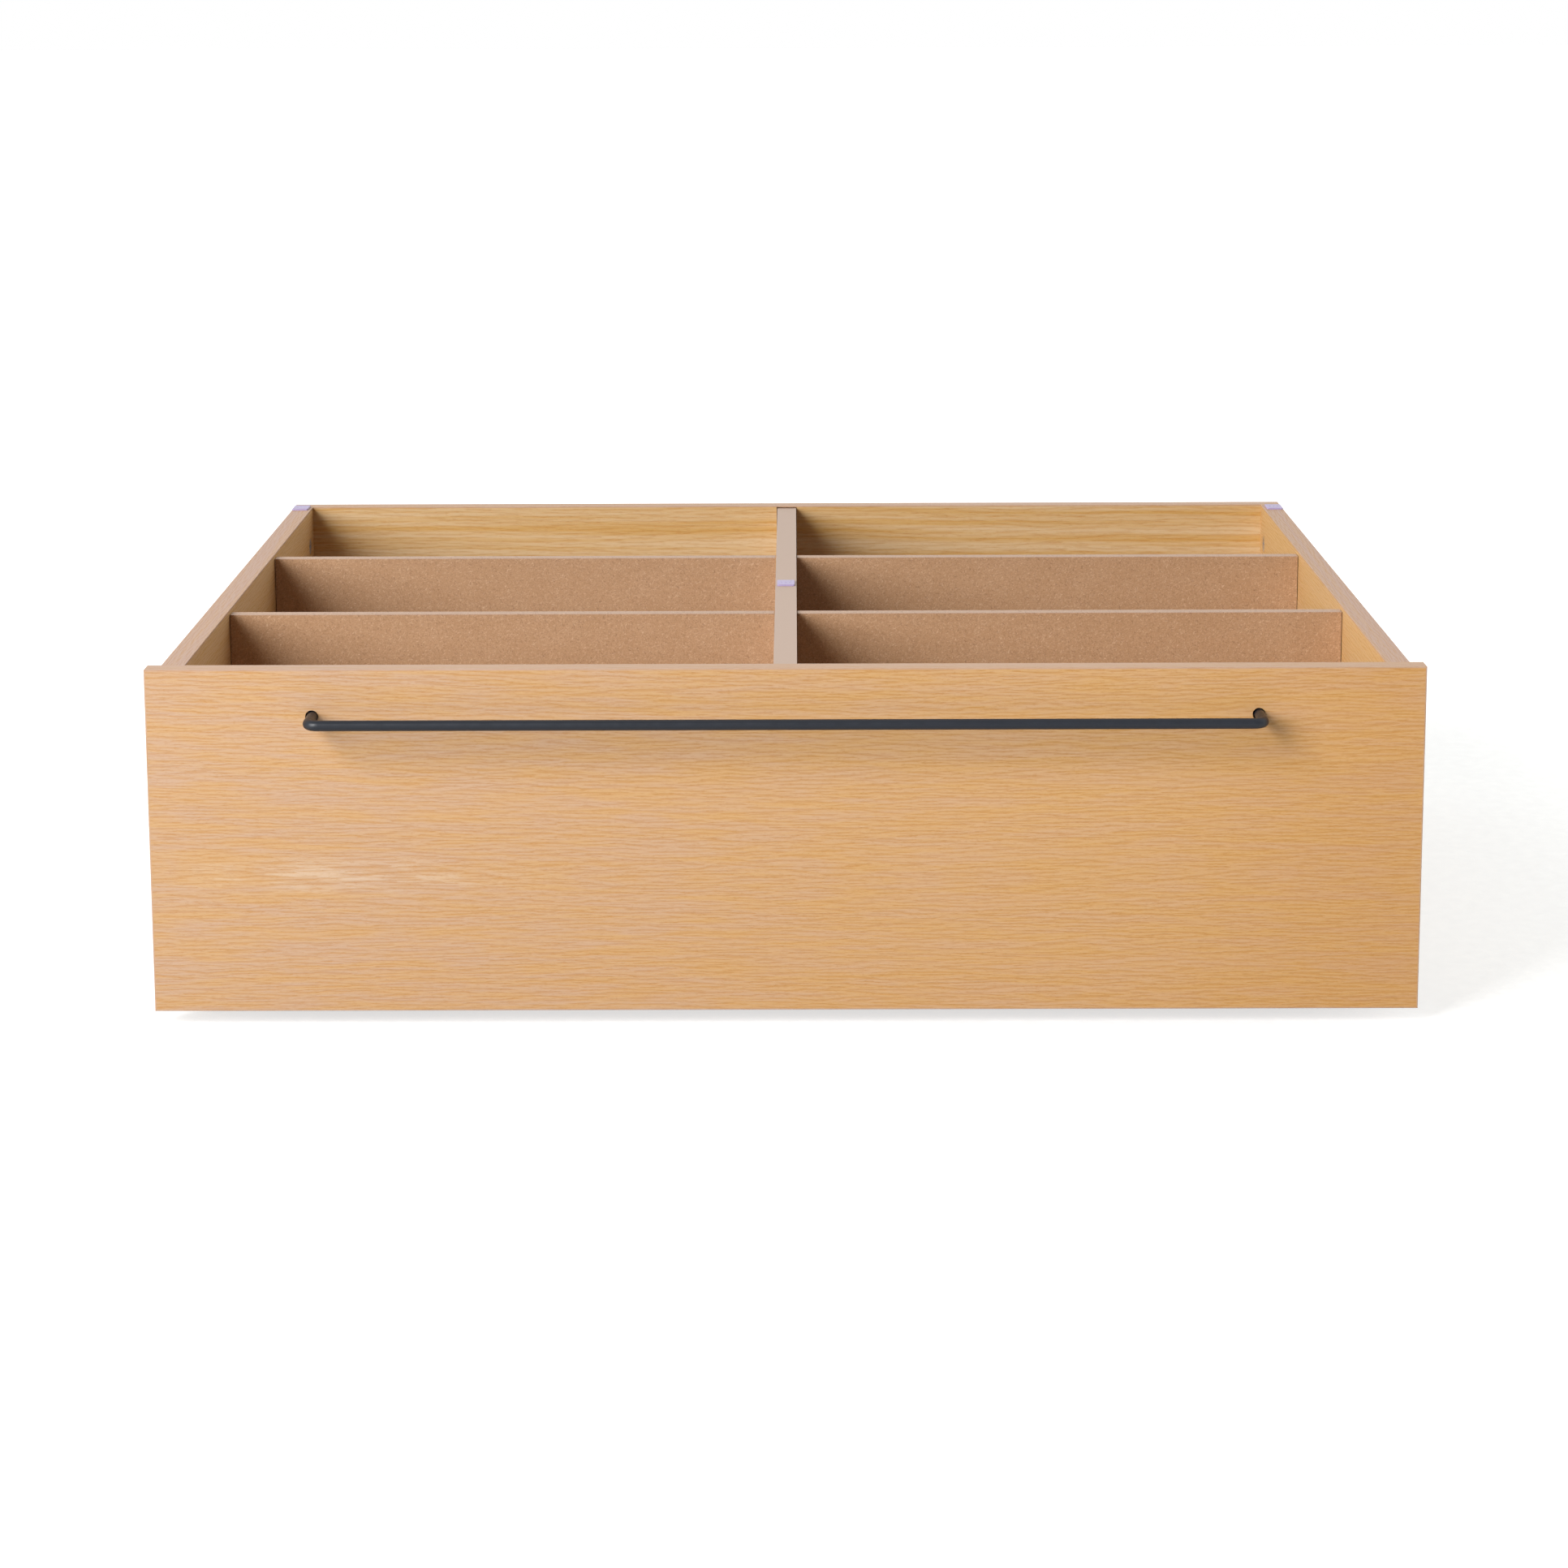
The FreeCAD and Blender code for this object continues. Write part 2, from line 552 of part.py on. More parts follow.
def add_bands():
    """Edge bands of the front, the sides and the rear panel."""
    upright = "front_top - ground_gap - 2 * band_thick"
    for name, height, outer in (("bottom", "ground_gap", "0"),
                                ("top", "front_top - band_thick", "band_thick")):
        add_band(f"front_{name}_edge_band", "Z", ("-front_width / 2", "0"),
                 ("front_width", "front_thick"), ("0", "front_face", height), "x", outer)
    for name, sign, inset, outer in (("left", "-", "0", "0"),
                                     ("right", "", "band_thick", "band_thick")):
        add_band(f"front_{name}_edge_band", "X", ("0", "ground_gap + band_thick"),
                 ("front_thick", upright), (f"{sign}front_width / 2 - {inset}", "front_face", "0"),
                 "z", outer)
        add_band(f"rear_{name}_edge_band", "X", ("0", "box_low"),
                 ("rear_thick", "box_height - band_thick"),
                 (f"{sign}box_width / 2 - {inset}", "rear_face", "0"), "z", outer)
    add_band("rear_top_edge_band", "Z", ("-box_width / 2", "0"), ("box_width", "rear_thick"),
             ("0", "rear_face", "board_top"), "x", "band_thick")
    for name, across, pins in (("left", "-box_width / 2", LEFT_PINS),
                               ("right", "box_width / 2 - side_thick", RIGHT_PINS)):
        band = add_band(f"{name}_side_edge_band", "Z", ("0", "0"), ("side_thick", "side_length"),
                        (across, "front_back", "board_top"), "y", "band_thick")
        drill(band, "Z", "0", "band_thick", "pin_diameter + 2 * fastener_play", pins)


# ---------------------------------------------------------------- handle
def add_handle_bar():
    """Handle bar: a round rod bent at both ends, with tapped legs."""
    body = add_body("handle_bar", "handle_shift", "front_face", "handle_height")
    path = add_sketch(body, "Z")
    half, bend = value_of("handle_span / 2"), value_of("handle_bend")
    rod, sink = -value_of("handle_standoff"), value_of("leg_sink")
    left_leg = path.addGeometry(Part.LineSegment(Vector(-half, sink, 0), Vector(-half, rod + bend, 0)))
    left_bend = path.addGeometry(bend_arc(Vector(-half + bend, rod + bend, 0), bend, 180))
    bar = path.addGeometry(Part.LineSegment(Vector(-half + bend, rod, 0), Vector(half - bend, rod, 0)))
    right_bend = path.addGeometry(bend_arc(Vector(half - bend, rod + bend, 0), bend, 270))
    right_leg = path.addGeometry(Part.LineSegment(Vector(half, rod + bend, 0), Vector(half, sink, 0)))
    for first, end, second, start in ((left_leg, 2, left_bend, 1), (left_bend, 2, bar, 1),
                                      (bar, 2, right_bend, 1), (right_bend, 2, right_leg, 1)):
        path.addConstraint(Sketcher.Constraint("Tangent", first, end, second, start))
    path.addConstraint(Sketcher.Constraint("Vertical", left_leg))
    path.addConstraint(Sketcher.Constraint("Vertical", right_leg))
    path.addConstraint(Sketcher.Constraint("Equal", left_bend, right_bend))
    measure(path, "Radius", "handle_bend", left_bend)
    place_point(path, left_leg, 1, "-handle_span / 2", "leg_sink")
    place_point(path, right_leg, 2, "handle_span / 2", "leg_sink")
    measure(path, "DistanceY", "leg_sink + handle_standoff", bar, 1, left_leg, 1)
    section = add_sketch(body, "Y", "leg_sink")
    add_circles(section, [("-handle_span / 2", "0")], "handle_diameter")
    pipe = body.newObject("PartDesign::AdditivePipe", "handle_bar_pipe")
    pipe.Profile = section
    pipe.Spine = path
    tapped = [(f"{side}handle_span / 2", "0") for side in ("-", "")]
    drill(body, "Y", "leg_sink", "grip_screw_length - washer_thick - front_thick + leg_sink"
          " + grip_thread_spare", "grip_screw_diameter + 2 * fastener_play", tapped, -1)


def bend_arc(centre, radius, start):
    """A quarter of a circle that starts at an angle in degrees."""
    circle = Part.Circle(centre, Vector(0, 0, 1), radius)
    return Part.ArcOfCircle(circle, math.radians(start), math.radians(start + 90))


def add_handle_fixings():
    """Washers and screws that hold the handle from behind the front."""
    washers = add_body("handle_washers", "handle_shift", "front_back", "0")
    sketch = add_sketch(washers, "Y")
    add_circles(sketch, HANDLE_SPOTS, "washer_diameter")
    add_circles(sketch, HANDLE_SPOTS, "grip_screw_diameter + 2 * grip_screw_play")
    extrude(washers, "Pad", "Y", sketch, "washer_thick")
    screws = add_body("handle_screws", "handle_shift", "front_back + washer_thick", "0")
    add_rods(screws, "Y", "0", "grip_head_height", "grip_head_diameter", HANDLE_SPOTS)
    dress(screws, "Fillet", "grip_head_round",
          is_round("grip_head_diameter / 2"), lies_at("y", "grip_head_height"))
    add_rods(screws, "Y", "-grip_screw_length", "grip_screw_length", "grip_screw_diameter",
             HANDLE_SPOTS)
    cross_recess(screws, "Y", "grip_head_height", -1, HANDLE_SPOTS, "grip_head_diameter")


# ---------------------------------------------------------------- joints between the boards
def add_cam_locks():
    """Cam locks: slotted round housings in the sides' inner faces."""
    body = add_body("cam_locks", "0", "box_middle", "0")
    spots = [("cam_setback - side_length / 2", up) for up in CAM_HEIGHTS]
    inner_end = "-inner_width / 2 - cam_height"
    housing = add_rods(body, "X", inner_end, "cam_height", "cam_diameter", spots)
    corners = [(f"{along} - cam_diameter", f"{up} - cam_slot_width / 2") for along, up in spots]
    slots = cut_slots(body, "X", inner_end, "cam_slot_height", corners,
                      ("cam_diameter + cam_slot_width / 2", "cam_slot_width"))
    cuts = cross_recess(body, "X", "-inner_width / 2", -1, spots, "cam_diameter")
    repeat(body, [housing, slots, *cuts], ("YZ_Plane",), ("XZ_Plane",))


def add_cam_bolts():
    """Cam bolts: threaded into the front and rear panels, with a head inside each cam."""
    body = add_body("cam_bolts", "0", "box_middle", "0")
    reach = "(cam_setback + bolt_head_length / 2)"
    neck = "(bolt_neck_length + bolt_head_length)"
    start = "-side_length / 2"
    shaft = add_rods(body, "Y", f"{start} - bolt_depth", f"bolt_depth + {reach} - {neck}",
                     "bolt_diameter", CAM_BOLT_SPOTS)
    slim = add_rods(body, "Y", f"{start} + {reach} - {neck}", neck, "bolt_neck_diameter",
                    CAM_BOLT_SPOTS)
    head = add_rods(body, "Y", f"{start} + {reach} - bolt_head_length", "bolt_head_length",
                    "bolt_diameter", CAM_BOLT_SPOTS)
    repeat(body, [shaft, slim, head], ("XZ_Plane",))


def add_dowels():
    """Dowels between the panels, and pegs at the cross dividers' ends."""
    dowels = add_body("panel_dowels", "0", "box_middle", "0")
    rods = add_rods(dowels, "Y", "-side_length / 2 - dowel_depth", "dowel_length",
                    "dowel_diameter", PANEL_DOWEL_SPOTS)
    ends = dress(dowels, "Chamfer", "dowel_chamfer", is_round("dowel_diameter / 2"))
    repeat(dowels, [rods, ends], ("XZ_Plane",))
    pegs = add_body("divider_pegs", "0", "front_back", "0")
    rods = add_rods(pegs, "X", "-inner_width / 2 - peg_depth", "2 * peg_depth", "peg_diameter",
                    PEG_SPOTS)
    ends = dress(pegs, "Chamfer", "dowel_chamfer", is_round("peg_diameter / 2"))
    repeat(pegs, [rods, ends], ("YZ_Plane",))
    through = add_body("through_pegs", "0", "front_back", "0")
    add_rods(through, "X", "-centre_thick / 2 - peg_depth", "centre_thick + 2 * peg_depth",
             "peg_diameter", PEG_SPOTS)
    dress(through, "Chamfer", "dowel_chamfer", is_round("peg_diameter / 2"))


def add_rail_screws():
    """Countersunk screws through the sides into the ends of the rails."""
    body = add_body("rail_screws", "0", "front_back", "0")
    start = "-box_width / 2"
    head_height = "(rail_screw_head - rail_screw_diameter) / 2"
    shank = add_rods(body, "X", start, "rail_screw_length", "rail_screw_diameter", RAIL_SCREW_SPOTS)
    head = add_rods(body, "X", start, head_height, "rail_screw_head - 2 * fastener_play",
                    RAIL_SCREW_SPOTS)
    cone = dress(body, "Chamfer", f"{head_height} - 2 * fastener_play",
                 is_round("rail_screw_head / 2 - fastener_play"),
                 lies_at("x", f"{start} + {head_height}"))
    cuts = cross_recess(body, "X", start, 1, RAIL_SCREW_SPOTS, "rail_screw_head")
    repeat(body, [shank, head, cone, *cuts], ("YZ_Plane",))


# ---------------------------------------------------------------- glide pads
def add_glide_pad(label, across, along, height):
    """Glide pad: a small smooth plate with three pin holes and rounded upper edges."""
    body = add_board(label, "Z", ("-pad_width / 2", "-pad_length / 2"), ("pad_width", "pad_length"),
                     "pad_thick", (across, along, height))
    dress(body, "Fillet", "pad_corner", runs_along("z"))
    dress(body, "Fillet", "edge_round", lies_at("z", "pad_thick"))
    drill(body, "Z", "0", "pad_thick", "pin_diameter + 2 * fastener_play", pin_spots("0", "0"))


def add_pads():
    """The three glide pads and their pins."""
    pads = [("left_glide_pad", "-side_pad_middle", "left_pad_rear - pad_length / 2", "box_top"),
            ("right_glide_pad", "side_pad_middle", "right_pad_rear - pad_length / 2", "box_top"),
            ("centre_glide_pad", "0", "front_back + centre_pad_place", "centre_top")]
    pins = add_body("glide_pad_pins")
    for label, across, along, height in pads:
        add_rods(pins, "Z", f"{height} + pad_thick - pin_sink - pin_length", "pin_length",
                 "pin_diameter", pin_spots(across, along))
        add_glide_pad(label, across, along, height)


# ---------------------------------------------------------------- casters
def add_fork(label, across, along):
    """Caster fork: a square plate and two legs that taper to a rounded end."""
    body = add_board(label, "Z", ("-plate_size / 2", "-plate_size / 2"), ("plate_size", "plate_size"),
                     "plate_thick", (across, along, "plate_low"))
    dress(body, "Fillet", "plate_corner", runs_along("z"))
    spots = [(f"{x}plate_pitch / 2", f"{y}plate_pitch / 2") for x in ("-", "") for y in ("-", "")]
    drill(body, "Z", "0", "plate_thick", "caster_screw_diameter + 2 * fastener_play", spots)
    leg = add_sketch(body, "X", "fork_gap / 2")
    draw_fork_leg(leg)
    pad = extrude(body, "Pad", "X", leg, "fork_thick")
    repeat(body, [pad], ("YZ_Plane",))
    drill(body, "X", "-fork_outside / 2", "fork_outside", "axle_diameter + 2 * fastener_play",
          [("0", "axle_height - plate_low")])


def draw_fork_leg(sketch):
    """Leg outline: straight top, sloping sides and a half circle round the axle."""
    wide, end = value_of("fork_width / 2"), value_of("fork_end")
    low = value_of("axle_height - plate_low")
    corners = [Vector(end, low, 0), Vector(wide, 0, 0), Vector(-wide, 0, 0), Vector(-end, low, 0)]
    lines = [sketch.addGeometry(Part.LineSegment(*pair)) for pair in zip(corners, corners[1:])]
    middle = Vector(0, low - end, 0)
    arc = sketch.addGeometry(Part.Arc(corners[3], middle, corners[0]))
    for first, second in zip(lines, lines[1:]):
        sketch.addConstraint(Sketcher.Constraint("Coincident", first, 2, second, 1))
    sketch.addConstraint(Sketcher.Constraint("Coincident", lines[2], 2, arc, 1))
    sketch.addConstraint(Sketcher.Constraint("Coincident", arc, 2, lines[0], 1))
    place_point(sketch, lines[0], 1, "fork_end", "axle_height - plate_low")
    place_point(sketch, lines[1], 1, "fork_width / 2", "0")
    place_point(sketch, lines[2], 1, "-fork_width / 2", "0")
    place_point(sketch, arc, 3, "0", "axle_height - plate_low")
    sketch.addConstraint(Sketcher.Constraint("Horizontal", lines[0], 1, lines[2], 2))


def revolve(body, corners):
    """Turn a closed half section about the body's X axis."""
    sketch = add_sketch(body, "Z")
    add_outline(sketch, corners)
    feature = body.newObject("PartDesign::Revolution", f"{body.Label}_revolution")
    feature.Profile = sketch
    feature.ReferenceAxis = (origin_item(body, "X_Axis"), [""])
    feature.Angle = 360
    return feature


def add_wheel(label, across, along):
    """Wheel: a moulded centre with hub, web and rim, and a soft tread round it."""
    place = (across, along, "axle_height")
    bore, hub = "axle_diameter / 2 + axle_play", "hub_diameter / 2"
    rim_outside, rim_inside = "rim_diameter / 2", "rim_diameter / 2 - rim_thick"
    hub_end, web, rim = "fork_gap / 2 - hub_play", "web_thick / 2", "wheel_width / 2"
    right = [(hub_end, bore), (hub_end, hub), (web, hub), (web, rim_inside), (rim, rim_inside),
             (rim, rim_outside)]
    left = [(f"-({x})", radius) for x, radius in reversed(right)]
    revolve(add_body(f"{label}_wheel_centre", *place), right + left)
    tread = add_body(f"{label}_tread", *place)
    inside = f"{rim_outside} + tread_play"
    revolve(tread, [(f"-{rim}", inside), (rim, inside), (rim, "axle_height"), (f"-{rim}", "axle_height")])
    dress(tread, "Fillet", "tread_round", is_round("axle_height"))


def add_axle(label, across, along):
    """Axle: a rivet with a domed head outside each leg."""
    body = add_body(label, across, along, "axle_height")
    spot = [("0", "0")]
    add_rods(body, "X", "-fork_outside / 2", "fork_outside", "axle_diameter", spot)
    for start in ("-fork_outside / 2 - axle_head_height", "fork_outside / 2"):
        add_rods(body, "X", start, "axle_head_height", "axle_head", spot)
    for end in ("-fork_outside / 2 - axle_head_height", "fork_outside / 2 + axle_head_height"):
        dress(body, "Fillet", "axle_head_round", is_round("axle_head / 2"), lies_at("x", end))


def add_casters():
    """The four casters and the screws that hold them to the rails."""
    rows = (("front", "front_back + rail_reach"), ("rear", "rear_face - rail_reach"))
    sides = (("left", "-caster_place"), ("right", "caster_place"))
    for row, along in rows:
        for side, across in sides:
            add_fork(f"{row}_{side}_caster_fork", across, along)
            add_wheel(f"{row}_{side}", across, along)
            add_axle(f"{row}_{side}_axle", across, along)
    screws = add_body("caster_screws", "0", "front_back", "plate_low")
    spots = [(f"{side} {x} plate_pitch / 2", f"rail_reach {y} plate_pitch / 2")
             for _, side in sides for x in "-+" for y in "-+"]
    head = add_rods(screws, "Z", "-caster_head_height", "caster_head_height", "caster_head_diameter",
                    spots)
    dome = dress(screws, "Fillet", "caster_head_round",
                 is_round("caster_head_diameter / 2"), lies_at("z", "-caster_head_height"))
    shank = add_rods(screws, "Z", "0", "caster_screw_length", "caster_screw_diameter", spots)
    cuts = cross_recess(screws, "Z", "-caster_head_height", 1, spots, "caster_head_diameter")
    repeat(screws, [head, dome, shank, *cuts], ("Y_Axis", "side_length - 2 * rail_reach"))


# ---------------------------------------------------------------- the whole drawer
def build():
    """Make every sub-part of the drawer."""
    add_front_panel()
    add_rear_panel()
    add_side_panel("left_side_panel", "-box_width / 2", 1, LEFT_PINS)
    add_side_panel("right_side_panel", "box_width / 2 - side_thick", -1, RIGHT_PINS)
    add_centre_divider()
    for row, along in (("front", "front_cross"), ("rear", "rear_cross")):
        for side, left in (("left", "-inner_width / 2"), ("right", "centre_thick / 2")):
            add_cross_divider(f"{row}_{side}_cross_divider", left, along)
    add_bottom_panel("left_bottom_panel", "-inner_width / 2")
    add_bottom_panel("right_bottom_panel", "centre_thick / 2")
    for row, place in zip(("front", "rear"), RAIL_PLACES):
        add_rail(f"{row}_caster_rail", place)
    add_bands()
    add_handle_bar()
    add_handle_fixings()
    add_cam_locks()
    add_cam_bolts()
    add_dowels()
    add_rail_screws()
    add_pads()
    add_casters()


def check():
    """Stop with a plain message if a feature failed, cut nothing or gave a bad shape."""
    for item in doc.Objects:
        if {"Invalid", "Error"} & set(item.State):
            raise ValueError(f"{item.Label} failed: {item.State}")
        if item.TypeId == "PartDesign::Pocket":
            cut = item.BaseFeature.Shape.Volume - item.Shape.Volume
            if cut < LEAST_CHANGE:
                raise ValueError(f"{item.Label} cuts nothing")
    for body in sub_parts:
        if body.Shape.isNull() or not body.Shape.isValid():
            raise ValueError(f"{body.Label} has a bad shape")
    if len(sub_parts) > SUB_PART_LIMIT:
        raise ValueError("too many sub-parts")


def export():
    """Write each sub-part to a file of its own name."""
    os.makedirs("parts", exist_ok=True)
    for body in sub_parts:
        body.Shape.exportStep(f"parts/{body.Label}.step")


sizes = add_sheet("Sizes", SIZES)
places = add_sheet("Places", [(alias, f"={cell(formula)}") for alias, formula in PLACES])
doc.recompute()
build()
doc.recompute()
check()
export()
print(f"{len(sub_parts)} sub-parts, {sum(len(body.Shape.Solids) for body in sub_parts)} solids")
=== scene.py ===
"""Finishes, small fittings and studio of a divided storage drawer, set round its CAD frame.

The drawer stands on four fixed casters. Its front, sides and rear panel are oak veneer with
glued edge bands; the cross dividers are raw fibreboard and the handle is a black steel rod.
Lengths are in metres: +X is to the right, +Y to the rear and +Z up, with the floor at zero.
"""
import math

import bmesh
import bpy
from mathutils import Matrix, Vector


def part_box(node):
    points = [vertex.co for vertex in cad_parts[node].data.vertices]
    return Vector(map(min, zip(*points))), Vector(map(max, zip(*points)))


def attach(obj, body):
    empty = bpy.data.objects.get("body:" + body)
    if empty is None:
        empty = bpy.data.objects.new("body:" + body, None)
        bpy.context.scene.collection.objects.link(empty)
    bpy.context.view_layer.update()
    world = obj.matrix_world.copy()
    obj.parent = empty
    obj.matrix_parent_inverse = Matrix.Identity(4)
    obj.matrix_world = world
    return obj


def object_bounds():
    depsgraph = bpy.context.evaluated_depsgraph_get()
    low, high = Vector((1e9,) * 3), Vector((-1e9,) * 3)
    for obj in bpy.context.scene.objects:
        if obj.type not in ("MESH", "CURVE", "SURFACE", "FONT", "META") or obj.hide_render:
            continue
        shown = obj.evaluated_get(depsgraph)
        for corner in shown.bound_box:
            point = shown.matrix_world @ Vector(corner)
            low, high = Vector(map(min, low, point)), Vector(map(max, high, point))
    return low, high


bl_info = {
    "name": "Divided Storage Drawer",
    "version": (1, 0, 0),
    "blender": (4, 5, 0),
    "location": "View3D > Sidebar > Drawer",
    "description": "Gives a divided storage drawer its veneers, boards, metals and studio",
    "category": "Object",
}

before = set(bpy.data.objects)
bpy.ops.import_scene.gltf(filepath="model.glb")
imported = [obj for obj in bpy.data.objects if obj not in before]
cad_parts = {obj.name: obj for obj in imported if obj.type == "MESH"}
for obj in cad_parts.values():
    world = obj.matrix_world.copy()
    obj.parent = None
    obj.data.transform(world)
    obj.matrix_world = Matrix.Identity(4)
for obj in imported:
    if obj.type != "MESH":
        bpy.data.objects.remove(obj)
cad_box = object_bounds()

CORNERS = ("front_left", "front_right", "rear_left", "rear_right")
DISPLAY_STEP = 0.04045
NO_SHIFT = (0.0, 0.0, 0.0)
WHITE = (1.0, 1.0, 1.0)

# Oak patterns in metres: size of a usual feature along the grain, across it and into the board.
SWAY_SIZE = (0.80, 0.16, 0.16)
RIPPLE_SIZE = (0.050, 0.016, 0.016)
SWELL_SIZE = (0.34, 0.07, 0.07)
STREAK_SIZE = (0.07, 0.007, 0.05)
BLOT_SIZE = (0.055, 0.006, 0.006)
SPOT_SIZE = (0.21, 0.018, 1.0)
RING_RUN = 0.7
RING_DEPTH = 0.05
HAIR_DEPTH = 0.001

# How far the grain lines wander, in metres, and the share of it that the pores follow.
SWAY_REACH = 0.055
RIPPLE_REACH = 0.0016
PORE_FOLLOW = 0.3

# A place and a height far off every board, for veneers without a cream figure or a heart line.
NO_SPOT = (9.0, 9.0, 0.0)
NO_HEART = -1.0

# Fibreboard patterns in metres, and the ways that pale and dark strokes lie, in radians.
BEND_SIZE = (0.006, 0.006, 0.006)
BEND_REACH = (0.0035, 0.0035, 0.0)
DUST_SIZE = (0.0010, 0.0010, 0.0010)
MOTTLE_SIZE = (0.03, 0.03, 0.03)
PALE_WAYS = (0.3, 1.1)
DARK_WAYS = (1.9, 2.7)

# Patterns of coated, plated and moulded surfaces in metres.
STAIN_SIZE = (0.012, 0.012, 0.012)
BRUSH_SIZE = (0.02, 0.0003, 0.0003)


# ---------------------------------------------------------------- settings
def tone(red, green, blue):
    """Linear colour of three display values from 0 to 255, by the standard display curve."""
    shares = (red / 255, green / 255, blue / 255)
    return tuple(share / 12.92 if share <= DISPLAY_STEP else ((share + 0.055) / 1.055) ** 2.4
                 for share in shares)


def colour(name, description, *display):
    """Colour property whose default is written in display values."""
    return bpy.props.FloatVectorProperty(name=name, description=description, subtype="COLOR",
                                         size=3, min=0.0, max=1.0, default=tone(*display))


def length(name, description, default):
    """Length property in metres."""
    return bpy.props.FloatProperty(name=name, description=description, default=default,
                                   min=0.0, subtype="DISTANCE", unit="LENGTH", precision=4)


def share(name, description, default, most=1.0):
    """Property for a share or strength, from nothing to a highest value."""
    return bpy.props.FloatProperty(name=name, description=description, default=default,
                                   min=0.0, max=most, subtype="FACTOR")


class DrawerOakSettings(bpy.types.PropertyGroup):
    """Colours and grain of the oak veneer and its edge bands."""
    front: colour("Front", "Ground colour of the front's veneer", 201, 157, 111)
    # The left end's colour is the veneer with a painted sheen of the lacquer on it.
    left_end_sheen: colour("Front, Left End", "Ground colour of the paler left end", 191, 155, 126)
    right_end: colour("Front, Right End", "Ground colour of the warmer right end", 195, 148, 101)
    rear: colour("Rear Panel", "Ground colour of the rear panel's veneer", 208, 178, 135)
    side: colour("Sides", "Ground colour of the side panels' veneer", 202, 162, 111)
    gold: colour("Gold", "Colour of the front's golden streaks", 203, 152, 67)
    ring: colour("Rings", "Colour of the darker growth rings", 194, 145, 58)
    pore: colour("Pores", "Colour of the thin open pores", 176, 120, 50)
    fleck: colour("Flecks", "Colour of the cream flecks near the heart", 219, 199, 175)
    band: colour("Edge Bands", "Ground colour of the glued edge bands", 186, 151, 127)
    side_band: colour("Side Bands", "Ground colour of the side panels' bands", 180, 145, 126)
    core: colour("Core", "Colour of the bare chipboard core", 178, 142, 98)
    ring_width: length("Ring Width", "Usual width of a growth ring", 0.011)
    pore_length: length("Pore Length", "Usual length of an open pore", 0.018)
    pore_width: length("Pore Width", "Usual spacing of open pores across the grain", 0.0010)
    gloss: share("Roughness", "Roughness of the satin lacquer", 0.46)


class DrawerBoardSettings(bpy.types.PropertyGroup):
    """Colours and texture of the plain boards and bare woods."""
    fibre: colour("Fibreboard", "Ground colour of the cross dividers", 176, 137, 101)
    fibre_light: colour("Light Fibres", "Colour of the pale fibres", 210, 176, 146)
    fibre_dark: colour("Dark Fibres", "Colour of the dark specks", 140, 104, 76)
    # The top edge's colour is the sawn edge's own tone with a painted grazing sheen, lighter and
    # pinker than the faces.
    sawn_and_sheen: colour("Sawn Edge", "Ground colour of the fibreboard's sawn top edge", 182, 150, 128)
    plain: colour("Centre Divider", "Colour of the plain centre divider", 182, 156, 139)
    hardboard: colour("Bottoms", "Ground colour of the hardboard bottoms", 166, 122, 84)
    pine: colour("Rails", "Ground colour of the pine rails", 218, 184, 134)
    beech: colour("Dowels", "Ground colour of the beech dowels", 214, 176, 132)
    fibre_length: length("Fibre Length", "Usual length of a visible fibre", 0.0038)
    fibre_width: length("Fibre Width", "Usual width of a visible fibre", 0.0010)


class DrawerFittingSettings(bpy.types.PropertyGroup):
    """Colours of the handle, fixings, pads and casters, and the sizes of the wheels' ribs."""
    handle: colour("Handle", "Colour of the handle's powder coat", 10, 16, 27)
    zinc: colour("Zinc", "Colour of the zinc-plated fixings", 196, 198, 202)
    sheet: colour("Caster Sheet", "Colour of the casters' pressed sheet", 186, 188, 191)
    pad: colour("Glide Pads", "Colour of the smooth pale pads", 171, 156, 194)
    wheel: colour("Wheel Centres", "Colour of the moulded wheel centres", 52, 53, 56)
    tread: colour("Treads", "Colour of the soft treads", 104, 105, 108)
    rib_count: bpy.props.IntProperty(name="Ribs", description="Ribs on each side of a wheel",
                                     default=9, min=3, max=24)
    rib_thick: length("Rib Thickness", "Thickness of a rib at the web", 0.0014)
    rib_inset: length("Rib Inset", "How far a rib stays below the rim's face", 0.0012)
    rib_round: length("Rib Rounding", "Rounding of the ribs' edges", 0.0003)


